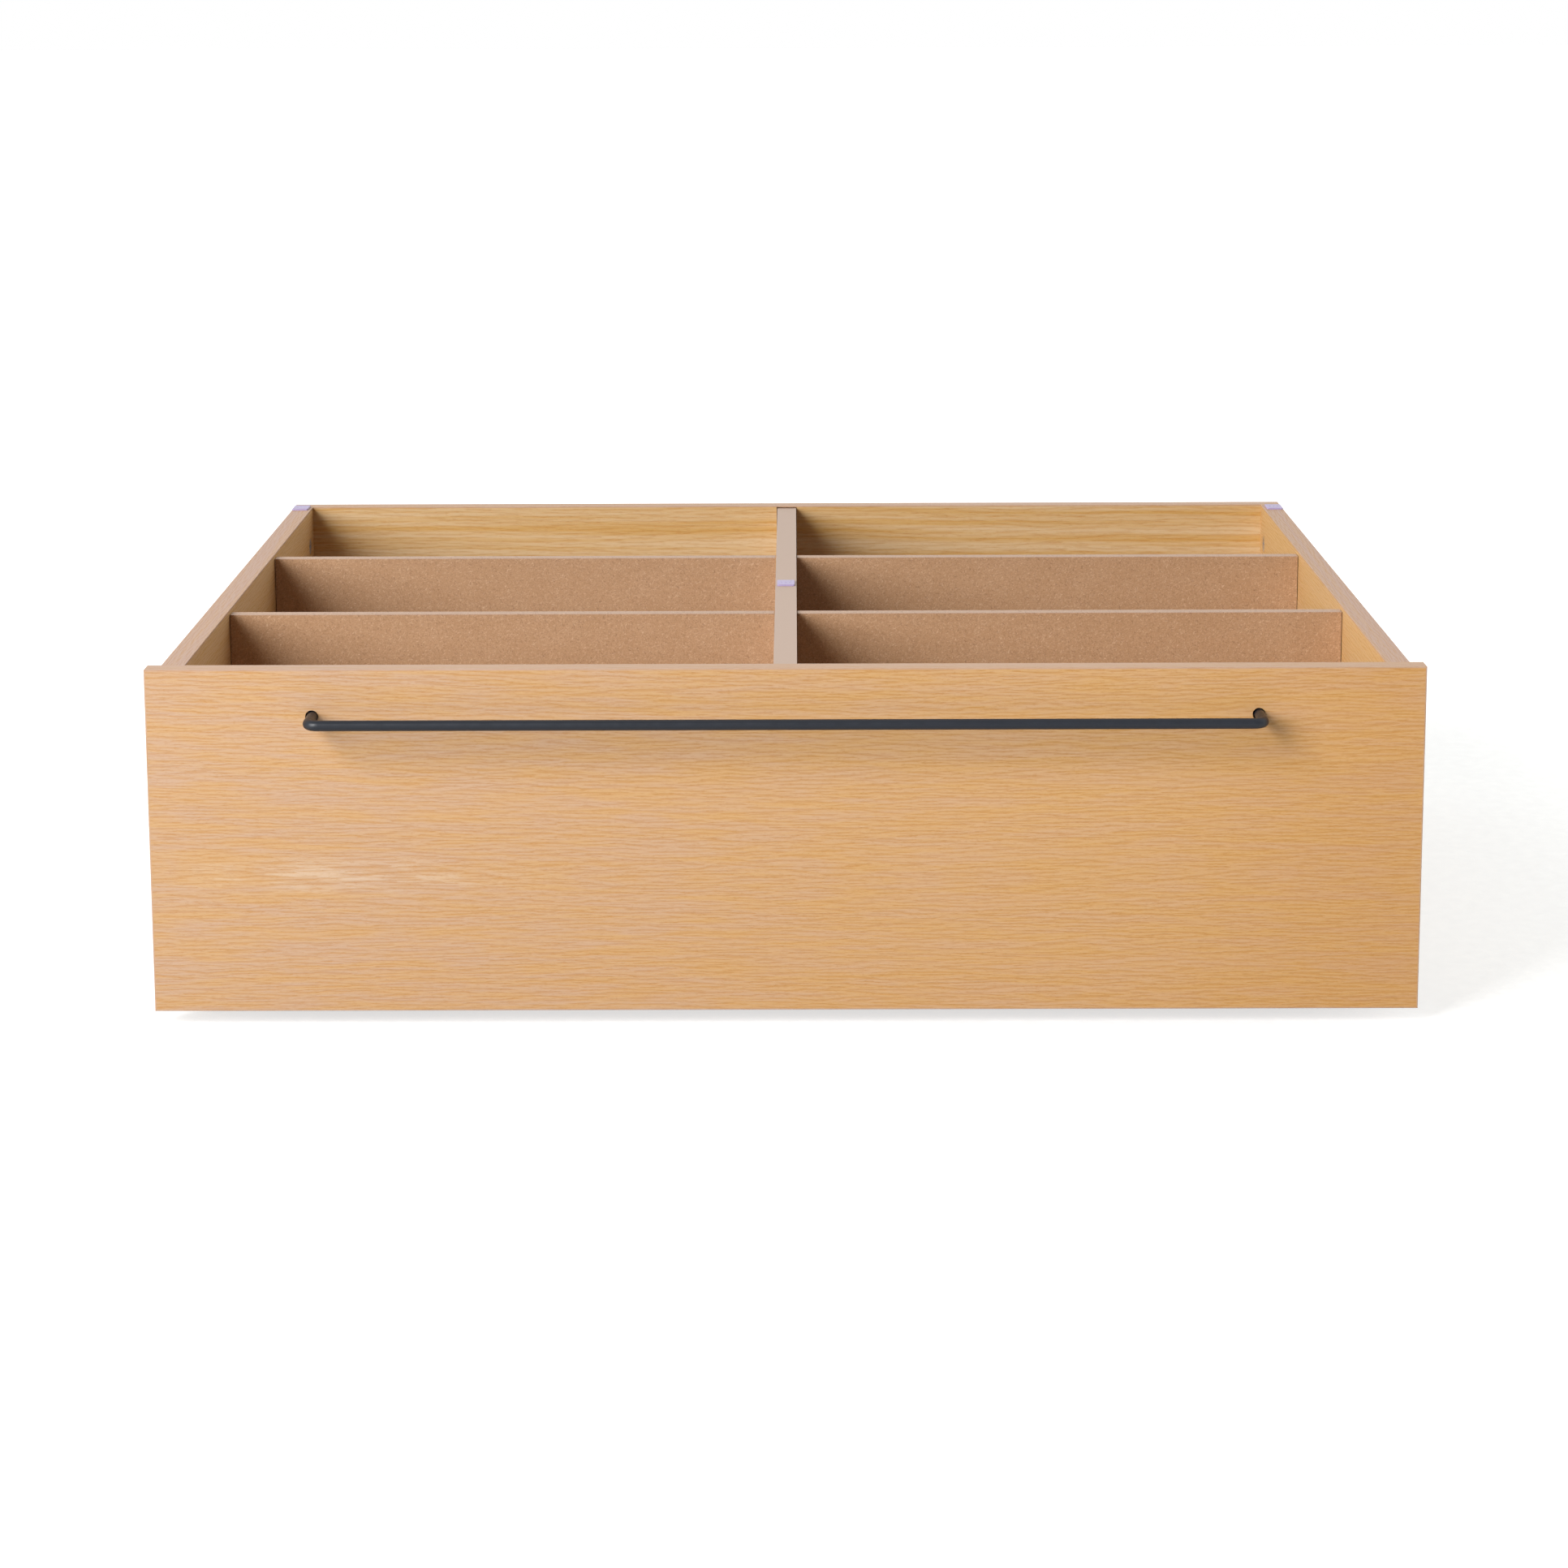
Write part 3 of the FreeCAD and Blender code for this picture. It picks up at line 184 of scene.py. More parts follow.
class DrawerStudioSettings(bpy.types.PropertyGroup):
    """Camera, lamps and floor."""
    camera_place: bpy.props.FloatVectorProperty(
        name="Camera", description="Place of the camera", size=3, subtype="TRANSLATION",
        unit="LENGTH", default=(0.00714, -3.0072, 0.8308))
    camera_turn: bpy.props.FloatVectorProperty(
        name="Camera Turn", description="Downward pitch, turn to the right and roll of the camera",
        size=3, subtype="EULER", unit="ROTATION", default=(0.1747, -0.0029, -0.0033))
    lens: bpy.props.FloatProperty(name="Lens", description="Focal length on a 36 mm sensor",
                                  default=82.27, min=10.0, unit="CAMERA")
    shift: bpy.props.FloatProperty(name="Shift", description="Upward shift of the lens",
                                   default=-0.15, min=-1.0, max=1.0)
    key_place: bpy.props.FloatVectorProperty(
        name="Key", description="Place of the key light's middle", size=3, subtype="TRANSLATION",
        unit="LENGTH", default=(-4.4, -4.6, 3.1))
    key_width: length("Key Width", "Width of the key light", 3.2)
    key_height: length("Key Height", "Height of the key light", 4.6)
    key_power: share("Key Power", "Power of the key light in watts", 708.0, 5000.0)
    side_way: bpy.props.FloatVectorProperty(
        name="Side Way", description="Way that the light from the right shines", size=3,
        subtype="DIRECTION", default=(-0.84, -0.15, -0.52))
    side_strength: share("Side Light", "Strength of the light from the right", 0.34, 20.0)
    side_spread: bpy.props.FloatProperty(
        name="Side Spread", description="Angle that the light from the right fills",
        default=math.radians(60), min=0.0, subtype="ANGLE", unit="ROTATION")
    rear_strength: share("Rear Light", "Strength of the even light from behind", 1.72, 5.0)
    rear_tint: colour("Rear Tint", "Colour of the even light from behind", 251, 255, 250)
    fill_strength: share("Fill", "Strength of the even light from all round", 0.053, 5.0)
    floor_size: length("Floor Size", "Width of the floor", 40.0)
    floor_glow: share("Floor Glow", "White that the camera sees on the floor", 0.66)
    shadow_reach: length("Shadow Reach", "Distance from the origin where shadows end", 1.6)
    floor: colour("Floor", "Colour of the floor", 190, 190, 190)


# ---------------------------------------------------------------- node trees
class Graph:
    """Fills one node tree: each method adds a node, links it and returns its output."""

    def __init__(self, tree):
        self.tree = tree

    def add(self, kind, *values, **settings):
        """Add a node, set its settings and fill its inputs in order."""
        node = self.tree.nodes.new("ShaderNode" + kind)
        step = len(self.tree.nodes)
        node.location = (step % 10 * 190, -(step // 10) * 260)
        for name, value in settings.items():
            setattr(node, name, value)
        for socket, value in zip(node.inputs, values):
            self.fill(socket, value)
        return node

    def fill(self, socket, value):
        """Link an output to an input, or set the input's own value."""
        if isinstance(value, bpy.types.NodeSocket):
            self.tree.links.new(value, socket)
        elif socket.type == "RGBA":
            socket.default_value = (*value[:3], 1.0)
        else:
            socket.default_value = value

    def calc(self, operation, first, second=0.0):
        """Arithmetic on one or two numbers."""
        return self.add("Math", first, second, operation=operation).outputs[0]

    def sum(self, *values):
        """Sum of several numbers."""
        total = values[0]
        for value in values[1:]:
            total = self.calc("ADD", total, value)
        return total

    def span(self, value, low, high, start=0.0, end=1.0):
        """Ease from start to end while a value goes from low to high."""
        return self.add("MapRange", value, low, high, start, end,
                        interpolation_type="SMOOTHSTEP").outputs[0]

    def mix(self, factor, first, second, kind="MIX"):
        """Blend two colours."""
        node = self.add("Mix", data_type="RGBA", blend_type=kind)
        for index, value in zip((0, 6, 7), (factor, first, second)):
            self.fill(node.inputs[index], value)
        return node.outputs[2]

    def sized(self, vector, size, turn=0.0, shift=NO_SHIFT):
        """Scale a place so that one unit is the given size, after a turn about the depth."""
        return self.add("Mapping", vector, shift, (0.0, 0.0, turn), size,
                        vector_type="TEXTURE").outputs[0]

    def noise(self, vector, detail=2.0, roughness=0.5):
        """Soft noise whose usual feature is one unit long."""
        return self.add("TexNoise", vector, 0.0, 1.0, detail, roughness).outputs[0]

    def split(self, vector):
        """The three parts of a vector."""
        return self.add("SeparateXYZ", vector).outputs[:]

    def join(self, *parts):
        """A vector from its three parts."""
        return self.add("CombineXYZ", *parts).outputs[0]

    def place(self, group, **values):
        """Put a node group into the tree and return its outputs by name."""
        node = self.add("Group", node_tree=group)
        for name, value in values.items():
            self.fill(node.inputs[name.replace("_", " ")], value)
        return node.outputs

    def object_parts(self):
        """The object coordinates by the letters of their axes."""
        return dict(zip("XYZ", self.split(self.add("TexCoord").outputs["Object"])))

    def grain_place(self, axes, shift=NO_SHIFT):
        """Object coordinates ordered along the grain, across it and into the board."""
        parts = self.object_parts()
        moved = [self.calc("ADD", parts[axis], offset) if offset else parts[axis]
                 for axis, offset in zip(axes, shift)]
        return self.join(*moved)


def node_group(name, inputs, outputs, fill):
    """A shader node group, made at its first use; fill returns its outputs by name."""
    group = bpy.data.node_groups.get(name)
    if group is None:
        group = bpy.data.node_groups.new(name, "ShaderNodeTree")
        for label, kind in inputs.items():
            group.interface.new_socket(label, in_out="INPUT", socket_type="NodeSocket" + kind)
        for label, kind in outputs.items():
            group.interface.new_socket(label, in_out="OUTPUT", socket_type="NodeSocket" + kind)
        graph = Graph(group)
        given = group.nodes.new("NodeGroupInput")
        result = group.nodes.new("NodeGroupOutput")
        for label, value in fill(graph, given.outputs).items():
            graph.fill(result.inputs[label], value)
    return group


def grain_group():
    """Oak grain: rings round a heart line, golden streaks, cream flecks and fine open pores."""
    def fill(graph, given):
        place = given["Place"]
        along, across, depth = graph.split(place)
        sway = graph.noise(graph.sized(place, SWAY_SIZE), 1.0)
        ripple = graph.noise(graph.sized(place, RIPPLE_SIZE), 1.0)
        swell = graph.noise(graph.sized(place, SWELL_SIZE), 2.0)
        wander = graph.sum(*[graph.calc("MULTIPLY", graph.calc("SUBTRACT", wave, 0.5), reach)
                             for wave, reach in ((sway, SWAY_REACH), (ripple, RIPPLE_REACH))])
        off = graph.sum(graph.calc("SUBTRACT", across, given["Heart"]), wander)
        under = graph.calc("MULTIPLY", graph.span(swell, 0.3, 0.7, 0.1, 1.7), given["Heart Depth"])
        ring = graph.calc("SQRT", graph.sum(graph.calc("POWER", off, 2.0),
                                            graph.calc("POWER", under, 2.0)))
        grain = graph.join(along, ring, depth)
        followed = graph.calc("MULTIPLY", wander, PORE_FOLLOW)
        strands = graph.join(along, graph.sum(across, followed), depth)
        ring_size = graph.join(RING_RUN, given["Ring Width"], RING_DEPTH)
        rings = graph.noise(graph.sized(grain, ring_size), 2.0)
        golden = graph.noise(graph.sized(grain, STREAK_SIZE), 3.0, 0.6)
        golden = graph.calc("MULTIPLY", graph.span(golden, 0.3, 0.7), given["Gold Strength"])
        colour = graph.mix(golden, given["Ground"], given["Gold"])
        dark = graph.calc("MULTIPLY", graph.span(rings, 0.38, 0.66), given["Ring Strength"])
        colour = graph.mix(dark, colour, given["Ring"])

        near = graph.span(graph.calc("ABSOLUTE", off), 0.014, 0.002)
        patch = graph.calc("MULTIPLY", near, graph.span(swell, 0.56, 0.70, 0.0, 0.5))
        spot = graph.add("VectorMath", graph.sized(place, SPOT_SIZE, 0.0, given["Spot"]),
                         operation="LENGTH").outputs["Value"]
        patch = graph.calc("MAXIMUM", patch, graph.span(spot, 1.1, 0.2))
        blots = graph.noise(graph.sized(strands, BLOT_SIZE), 3.0)
        fleck = graph.calc("MULTIPLY", patch, graph.span(blots, 0.44, 0.62))
        colour = graph.mix(graph.calc("MULTIPLY", fleck, given["Fleck Strength"]), colour,
                           given["Fleck"])

        width = given["Pore Width"]
        pore_size = graph.join(given["Pore Length"], width, width)
        apart = graph.join(0.0, graph.calc("MULTIPLY", width, 1.4), 0.0)
        beside = [graph.noise(graph.sized(strands, pore_size, 0.0, start), 0.0)
                  for start in (NO_SHIFT, apart)]
        pores = graph.calc("SUBTRACT", *beside)
        hair_size = graph.join(graph.calc("MULTIPLY", given["Pore Length"], 0.20),
                               graph.calc("MULTIPLY", width, 0.7), HAIR_DEPTH)
        hairs = graph.noise(graph.sized(strands, hair_size), 1.0)
        open_pores = graph.sum(graph.span(pores, 0.03, 0.16, 0.0, 0.8),
                               graph.span(hairs, 0.54, 0.68, 0.0, 0.55))
        open_pores = graph.calc("MULTIPLY", open_pores, graph.span(rings, 0.30, 0.62, 0.8, 1.0))
        pale = graph.sum(graph.span(pores, -0.03, -0.16, 0.0, 0.06),
                         graph.span(hairs, 0.46, 0.30, 0.0, 0.04))
        colour = graph.mix(pale, colour, given["Fleck"])
        colour = graph.mix(graph.calc("MULTIPLY", open_pores, given["Pore Strength"]), colour,
                           given["Pore"])
        height = graph.sum(graph.calc("MULTIPLY", open_pores, -1.0),
                           graph.calc("MULTIPLY", hairs, -0.35))
        return {"Colour": colour, "Height": height,
                "Roughness": graph.sum(given["Gloss"], graph.calc("MULTIPLY", open_pores, 0.12),
                                       graph.span(sway, 0.3, 0.7, -0.02, 0.02))}

    colours = dict.fromkeys(("Ground", "Gold", "Ring", "Pore", "Fleck"), "Color")
    values = dict.fromkeys(("Gold Strength", "Ring Strength", "Pore Strength", "Fleck Strength",
                            "Heart", "Heart Depth", "Ring Width", "Pore Length", "Pore Width",
                            "Gloss"), "Float")
    return node_group("oak_grain", {"Place": "Vector", "Spot": "Vector", **colours, **values},
                      {"Colour": "Color", "Height": "Float", "Roughness": "Float"}, fill)


def fibre_group():
    """Pressed fibres: short strokes that lie every way, pale and dark, over a mottled ground."""
    def fill(graph, given):
        place = given["Place"]
        long, thin = given["Fibre Length"], given["Fibre Width"]
        bend = graph.add("TexNoise", graph.sized(place, BEND_SIZE), 0.0, 1.0, 1.0).outputs[1]
        bend = graph.add("VectorMath", bend, (0.5, 0.5, 0.5), operation="SUBTRACT").outputs[0]
        bent = graph.add("VectorMath", bend, BEND_REACH, place,
                         operation="MULTIPLY_ADD").outputs[0]
        size = graph.join(long, thin, long)
        bright, dull = [
            graph.calc("MAXIMUM", *[graph.noise(graph.sized(bent, size, way, (way, 0.0, 0.0)), 1.0)
                                    for way in ways])
            for ways in (PALE_WAYS, DARK_WAYS)]
        dust = graph.noise(graph.sized(place, DUST_SIZE), 2.0, 0.6)
        mottle = graph.noise(graph.sized(place, MOTTLE_SIZE), 3.0, 0.6)
        pale = graph.sum(graph.span(bright, 0.61, 0.76, 0.0, 0.50),
                         graph.span(dust, 0.52, 0.78, 0.0, 0.56),
                         graph.span(mottle, 0.3, 0.7, -0.04, 0.06))
        dark = graph.sum(graph.span(dull, 0.61, 0.76, 0.0, 0.50),
                         graph.span(dust, 0.48, 0.24, 0.0, 0.66))
        colour = graph.mix(graph.calc("MULTIPLY", pale, given["Strength"]), given["Ground"],
                           given["Light"])
        colour = graph.mix(graph.calc("MULTIPLY", dark, given["Strength"]), colour, given["Dark"])
        return {"Colour": colour, "Height": graph.sum(bright, dust)}

    colours = dict.fromkeys(("Ground", "Light", "Dark"), "Color")
    values = dict.fromkeys(("Strength", "Fibre Length", "Fibre Width"), "Float")
    return node_group("pressed_fibres", {"Place": "Vector", **colours, **values},
                      {"Colour": "Color", "Height": "Float"}, fill)


def fine_group():
    """Fine unevenness of a moulded, coated or plated surface, with faint stains."""
    def fill(graph, given):
        grit = graph.noise(graph.sized(given["Place"], graph.join(*[given["Grit"]] * 3)), 2.0)
        stain = graph.noise(graph.sized(given["Place"], STAIN_SIZE), 3.0, 0.6)
        brushed = graph.noise(graph.sized(given["Place"], BRUSH_SIZE), 2.0)
        rough = graph.sum(given["Roughness"], graph.span(stain, 0.3, 0.7, -0.05, 0.05),
                          graph.span(grit, 0.3, 0.7, -0.03, 0.03))
        shade = graph.sum(graph.span(stain, 0.3, 0.7, 0.93, 1.05),
                          graph.calc("MULTIPLY", graph.calc("SUBTRACT", brushed, 0.5),
                                     given["Brushing"]))
        tint = graph.mix(1.0, given["Ground"], graph.join(shade, shade, shade), "MULTIPLY")
        return {"Colour": tint, "Height": grit, "Roughness": rough}

    return node_group("fine_surface", {"Place": "Vector", "Ground": "Color", "Grit": "Float",
                                       "Roughness": "Float", "Brushing": "Float"},
                      {"Colour": "Color", "Height": "Float", "Roughness": "Float"}, fill)


# ---------------------------------------------------------------- materials
def new_material(name):
    """A material with its graph, its Principled shader and nothing else."""
    material = bpy.data.materials.new(name)
    material.use_nodes = True
    material.node_tree.nodes.clear()
    graph = Graph(material.node_tree)
    shader = graph.add("BsdfPrincipled")
    graph.add("OutputMaterial", shader.outputs[0])
    return material, graph, shader


def finish(graph, shader, look, relief, gloss=None, **constants):
    """Feed a shader from a group's outputs; constants go on the shader's own sockets."""
    graph.fill(shader.inputs["Base Color"], look["Colour"])
    graph.fill(shader.inputs["Roughness"], look["Roughness"] if gloss is None else gloss)
    bump = graph.add("Bump")
    graph.fill(bump.inputs["Strength"], 1.0)
    graph.fill(bump.inputs["Distance"], relief)
    graph.fill(bump.inputs["Height"], look["Height"])
    graph.fill(shader.inputs["Normal"], bump.outputs[0])
    for name, value in constants.items():
        graph.fill(shader.inputs[name.replace("_", " ")], value)


def oak_look(graph, oak, ground, axes, shift, rings=0.3, pores=0.3, flecks=0.5, gold=0.0,
             heart=NO_HEART, depth=0.02, spot=NO_SPOT, widths=(1.0, 1.0, 1.0)):
    """Place the oak grain with the oak's colours; widths scale its ring and pore sizes."""
    ring_width, pore_length, pore_width = widths
    return graph.place(grain_group(), Place=graph.grain_place(axes, shift), Spot=spot,
                       Ground=ground, Gold=oak.gold, Ring=oak.ring, Pore=oak.pore,
                       Fleck=oak.fleck, Gold_Strength=gold, Ring_Strength=rings,
                       Pore_Strength=pores, Fleck_Strength=flecks,
                       Heart=heart, Heart_Depth=depth, Ring_Width=oak.ring_width * ring_width,
                       Pore_Length=oak.pore_length * pore_length,
                       Pore_Width=oak.pore_width * pore_width, Gloss=oak.gloss)


def fibre_look(graph, boards, ground, axes, strength, light=None, dark=None):
    """Place the pressed fibres with the boards' colours."""
    return graph.place(fibre_group(), Place=graph.grain_place(axes), Ground=ground,
                       Light=light or boards.fibre_light, Dark=dark or boards.fibre_dark,
                       Strength=strength, Fibre_Length=boards.fibre_length,
                       Fibre_Width=boards.fibre_width)


def smooth_material(name, ground, *, grit, roughness, relief, brushing=0.0, **constants):
    """Material of a coated, plated or moulded surface."""
    material, graph, shader = new_material(name)
    look = graph.place(fine_group(), Place=graph.grain_place("XYZ"), Ground=ground, Grit=grit,
                       Roughness=roughness, Brushing=brushing)
    finish(graph, shader, look, relief, **constants)
    return material


def dress(material, *nodes):
    """Give CAD nodes a material through their material slots."""
    for node in nodes:
        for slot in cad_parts[node].material_slots:
            slot.material = material


def near_face(graph, axis, place, reach=0.0004):
    """Mask of what lies within a short reach of a place on an axis."""
    away = graph.calc("ABSOLUTE", graph.calc("SUBTRACT", graph.object_parts()[axis], place))
    return graph.calc("LESS_THAN", away, reach)


def cover_core(graph, shader, mask, core):
    """Show the bare core instead of the veneer where a mask is one."""
    link = shader.inputs["Base Color"].links[0].from_socket
    graph.fill(shader.inputs["Base Color"], graph.mix(mask, link, core))


# ---------------------------------------------------------------- operators
class DRAWER_OT_front_panel(bpy.types.Operator):
    """Veneer the front panel with flat-cut oak, its left end paled by a painted sheen"""
    bl_idname = "drawer.front_panel"
    bl_label = "Front Panel"
    bl_options = {"REGISTER", "UNDO"}

    heart_share = 0.42
    sheen_reach = 0.9
    warm_start = 0.5
    figure_inset = 0.125
    figure_drop = 0.006

    def execute(self, context):
        oak = context.scene.drawer_oak
        low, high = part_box("front_panel")
        material, graph, shader = new_material("oak_front")
        along = graph.object_parts()["X"]
        # Painted sheen: the ground pales from the right end towards the left end, strongest at the
        # left end.
        ground = graph.mix(graph.span(along, low.x, high.x * self.sheen_reach), oak.left_end_sheen,
                           oak.front)
        ground = graph.mix(graph.span(along, high.x * self.warm_start, high.x), ground,
                           oak.right_end)
        heart = low.z + self.heart_share * (high.z - low.z)
        spot = (low.x + self.figure_inset, heart - self.figure_drop, 0.0)
        look = oak_look(graph, oak, ground, "XZY", NO_SHIFT, rings=0.03, pores=0.42,
                        flecks=0.44, gold=0.45, heart=heart, depth=0.006, spot=spot)
        finish(graph, shader, look, relief=0.00006)
        dress(material, "front_panel")
        return {"FINISHED"}


class DRAWER_OT_rear_panel(bpy.types.Operator):
    """Veneer the rear panel with straight oak grain and bold rings"""
    bl_idname = "drawer.rear_panel"
    bl_label = "Rear Panel"
    bl_options = {"REGISTER", "UNDO"}

    def execute(self, context):
        oak, boards = context.scene.drawer_oak, context.scene.drawer_boards
        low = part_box("rear_panel")[0]
        material, graph, shader = new_material("oak_rear")
        look = oak_look(graph, oak, oak.rear, "XZY", (3.1, 0.7, 0.4), rings=0.70, pores=0.38,
                        flecks=0.2, widths=(0.80, 1.8, 1.6))
        finish(graph, shader, look, relief=0.00006)
        core = fibre_look(graph, boards, oak.core, "XYZ", strength=1.0)
        cover_core(graph, shader, near_face(graph, "Z", low.z), core["Colour"])
        dress(material, "rear_panel")
        return {"FINISHED"}


class DRAWER_OT_side_panels(bpy.types.Operator):
    """Veneer the side panels with oak grain that runs from front to rear"""
    bl_idname = "drawer.side_panels"
    bl_label = "Side Panels"
    bl_options = {"REGISTER", "UNDO"}

    def execute(self, context):
        oak, boards = context.scene.drawer_oak, context.scene.drawer_boards
        for side, shift in (("left", (1.7, 2.3, 0.0)), ("right", (5.2, 4.1, 0.0))):
            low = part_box(f"{side}_side_panel")[0]
            material, graph, shader = new_material(f"oak_{side}_side")
            look = oak_look(graph, oak, oak.side, "YZX", shift, rings=0.26, pores=0.26,
                            flecks=0.3, widths=(1.0, 1.6, 1.0))
            finish(graph, shader, look, relief=0.00006)
            core = fibre_look(graph, boards, oak.core, "XYZ", strength=1.0)
            cover_core(graph, shader, near_face(graph, "Z", low.z), core["Colour"])
            dress(material, f"{side}_side_panel")
        return {"FINISHED"}


class DRAWER_OT_edge_bands(bpy.types.Operator):
    """Give the glued edge bands paler, matt oak whose grain runs along each band"""
    bl_idname = "drawer.edge_bands"
    bl_label = "Edge Bands"
    bl_options = {"REGISTER", "UNDO"}

    matting = 0.04
    runs = (("XYZ", "band", ("front_bottom", "front_top", "rear_top")),
            ("YXZ", "side_band", ("left_side", "right_side")),
            ("ZYX", "band", ("front_left", "front_right", "rear_left", "rear_right")))

    def execute(self, context):
        oak = context.scene.drawer_oak
        for axes, tint, bands in self.runs:
            ground = getattr(oak, tint)
            for number, band in enumerate(bands):
                material, graph, shader = new_material(f"oak_band_{band}")
                look = oak_look(graph, oak, ground, axes, (number * 1.3, number * 2.1, 0.0),
                                rings=0.20, pores=0.26, flecks=0.2, widths=(0.5, 1.2, 0.9))
                finish(graph, shader, look, relief=0.00005,
                       gloss=graph.sum(look["Roughness"], self.matting))
                dress(material, f"{band}_edge_band")
        return {"FINISHED"}


class DRAWER_OT_centre_divider(bpy.types.Operator):
    """Finish the centre divider as plain, very even beige board"""
    bl_idname = "drawer.centre_divider"
    bl_label = "Centre Divider"
    bl_options = {"REGISTER", "UNDO"}

    def execute(self, context):
        boards = context.scene.drawer_boards
        material, graph, shader = new_material("plain_board")
        look = fibre_look(graph, boards, boards.plain, "YXZ", strength=0.10)
        finish(graph, shader, look, relief=0.00002, gloss=0.55)
        dress(material, "centre_divider")
        return {"FINISHED"}


class DRAWER_OT_cross_dividers(bpy.types.Operator):
    """Finish the four cross dividers as raw speckled fibreboard, with a painted sheen on their top
    edges
    """
    bl_idname = "drawer.cross_dividers"
    bl_label = "Cross Dividers"
    bl_options = {"REGISTER", "UNDO"}

    def execute(self, context):
        boards = context.scene.drawer_boards
        material, graph, shader = new_material("fibreboard")
        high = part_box("front_left_cross_divider")[1]
        # The top face takes its own colour: the sawn edge's tone plus a painted grazing sheen.
        ground = graph.mix(near_face(graph, "Z", high.z), boards.fibre, boards.sawn_and_sheen)
        look = fibre_look(graph, boards, ground, "XZY", strength=1.0)
        finish(graph, shader, look, relief=0.00005, gloss=0.62)
        dress(material, *[f"{corner}_cross_divider" for corner in CORNERS])
        return {"FINISHED"}


class DRAWER_OT_bottoms_and_rails(bpy.types.Operator):
    """Finish the hardboard bottoms, the pine rails and the beech dowels and pegs"""
    bl_idname = "drawer.bottoms_and_rails"
    bl_label = "Bottoms and Rails"
    bl_options = {"REGISTER", "UNDO"}

    def execute(self, context):
        oak, boards = context.scene.drawer_oak, context.scene.drawer_boards
        material, graph, shader = new_material("hardboard")
        look = fibre_look(graph, boards, boards.hardboard, "XYZ", strength=0.7)
        finish(graph, shader, look, relief=0.00004, gloss=0.5)
        dress(material, "left_bottom_panel", "right_bottom_panel")
        for name, ground, axes, nodes in (
                ("pine", boards.pine, "XYZ", ("front_caster_rail", "rear_caster_rail")),
                ("beech", boards.beech, "YXZ", ("panel_dowels", "divider_pegs", "through_pegs"))):
            material, graph, shader = new_material(name)
            look = oak_look(graph, oak, ground, axes, NO_SHIFT, rings=0.45, pores=0.08,
                            flecks=0.1, widths=(0.6, 2.0, 1.0))
            finish(graph, shader, look, relief=0.00008, gloss=0.6)
            dress(material, *nodes)
        return {"FINISHED"}


class DRAWER_OT_handle(bpy.types.Operator):
    """Coat the handle rod with black satin powder"""
    bl_idname = "drawer.handle"
    bl_label = "Handle"
    bl_options = {"REGISTER", "UNDO"}

    def execute(self, context):
        fittings = context.scene.drawer_fittings
        material = smooth_material("black_powder_coat", fittings.handle, grit=0.0006,
                                   roughness=0.40, relief=0.00003, Specular_IOR_Level=0.38)
        dress(material, "handle_bar")
        return {"FINISHED"}


class DRAWER_OT_fixings(bpy.types.Operator):
    """Plate the cams, bolts, screws, washers and pins with bright zinc"""
    bl_idname = "drawer.fixings"
    bl_label = "Fixings"
    bl_options = {"REGISTER", "UNDO"}

    def execute(self, context):
        fittings = context.scene.drawer_fittings
        material = smooth_material("zinc_plate", fittings.zinc, grit=0.0004, roughness=0.36,
                                   relief=0.00001, brushing=0.10, Metallic=1.0)
        dress(material, "handle_washers", "handle_screws", "cam_locks", "cam_bolts",
              "rail_screws", "caster_screws", "glide_pad_pins")
        return {"FINISHED"}


class DRAWER_OT_glide_pads(bpy.types.Operator):
    """Finish the three glide pads as smooth pale plastic"""
    bl_idname = "drawer.glide_pads"
    bl_label = "Glide Pads"
    bl_options = {"REGISTER", "UNDO"}

    def execute(self, context):
        fittings = context.scene.drawer_fittings
        material = smooth_material("glide_plastic", fittings.pad, grit=0.0008, roughness=0.34,
                                   relief=0.00001)
        dress(material, "left_glide_pad", "right_glide_pad", "centre_glide_pad")
        return {"FINISHED"}


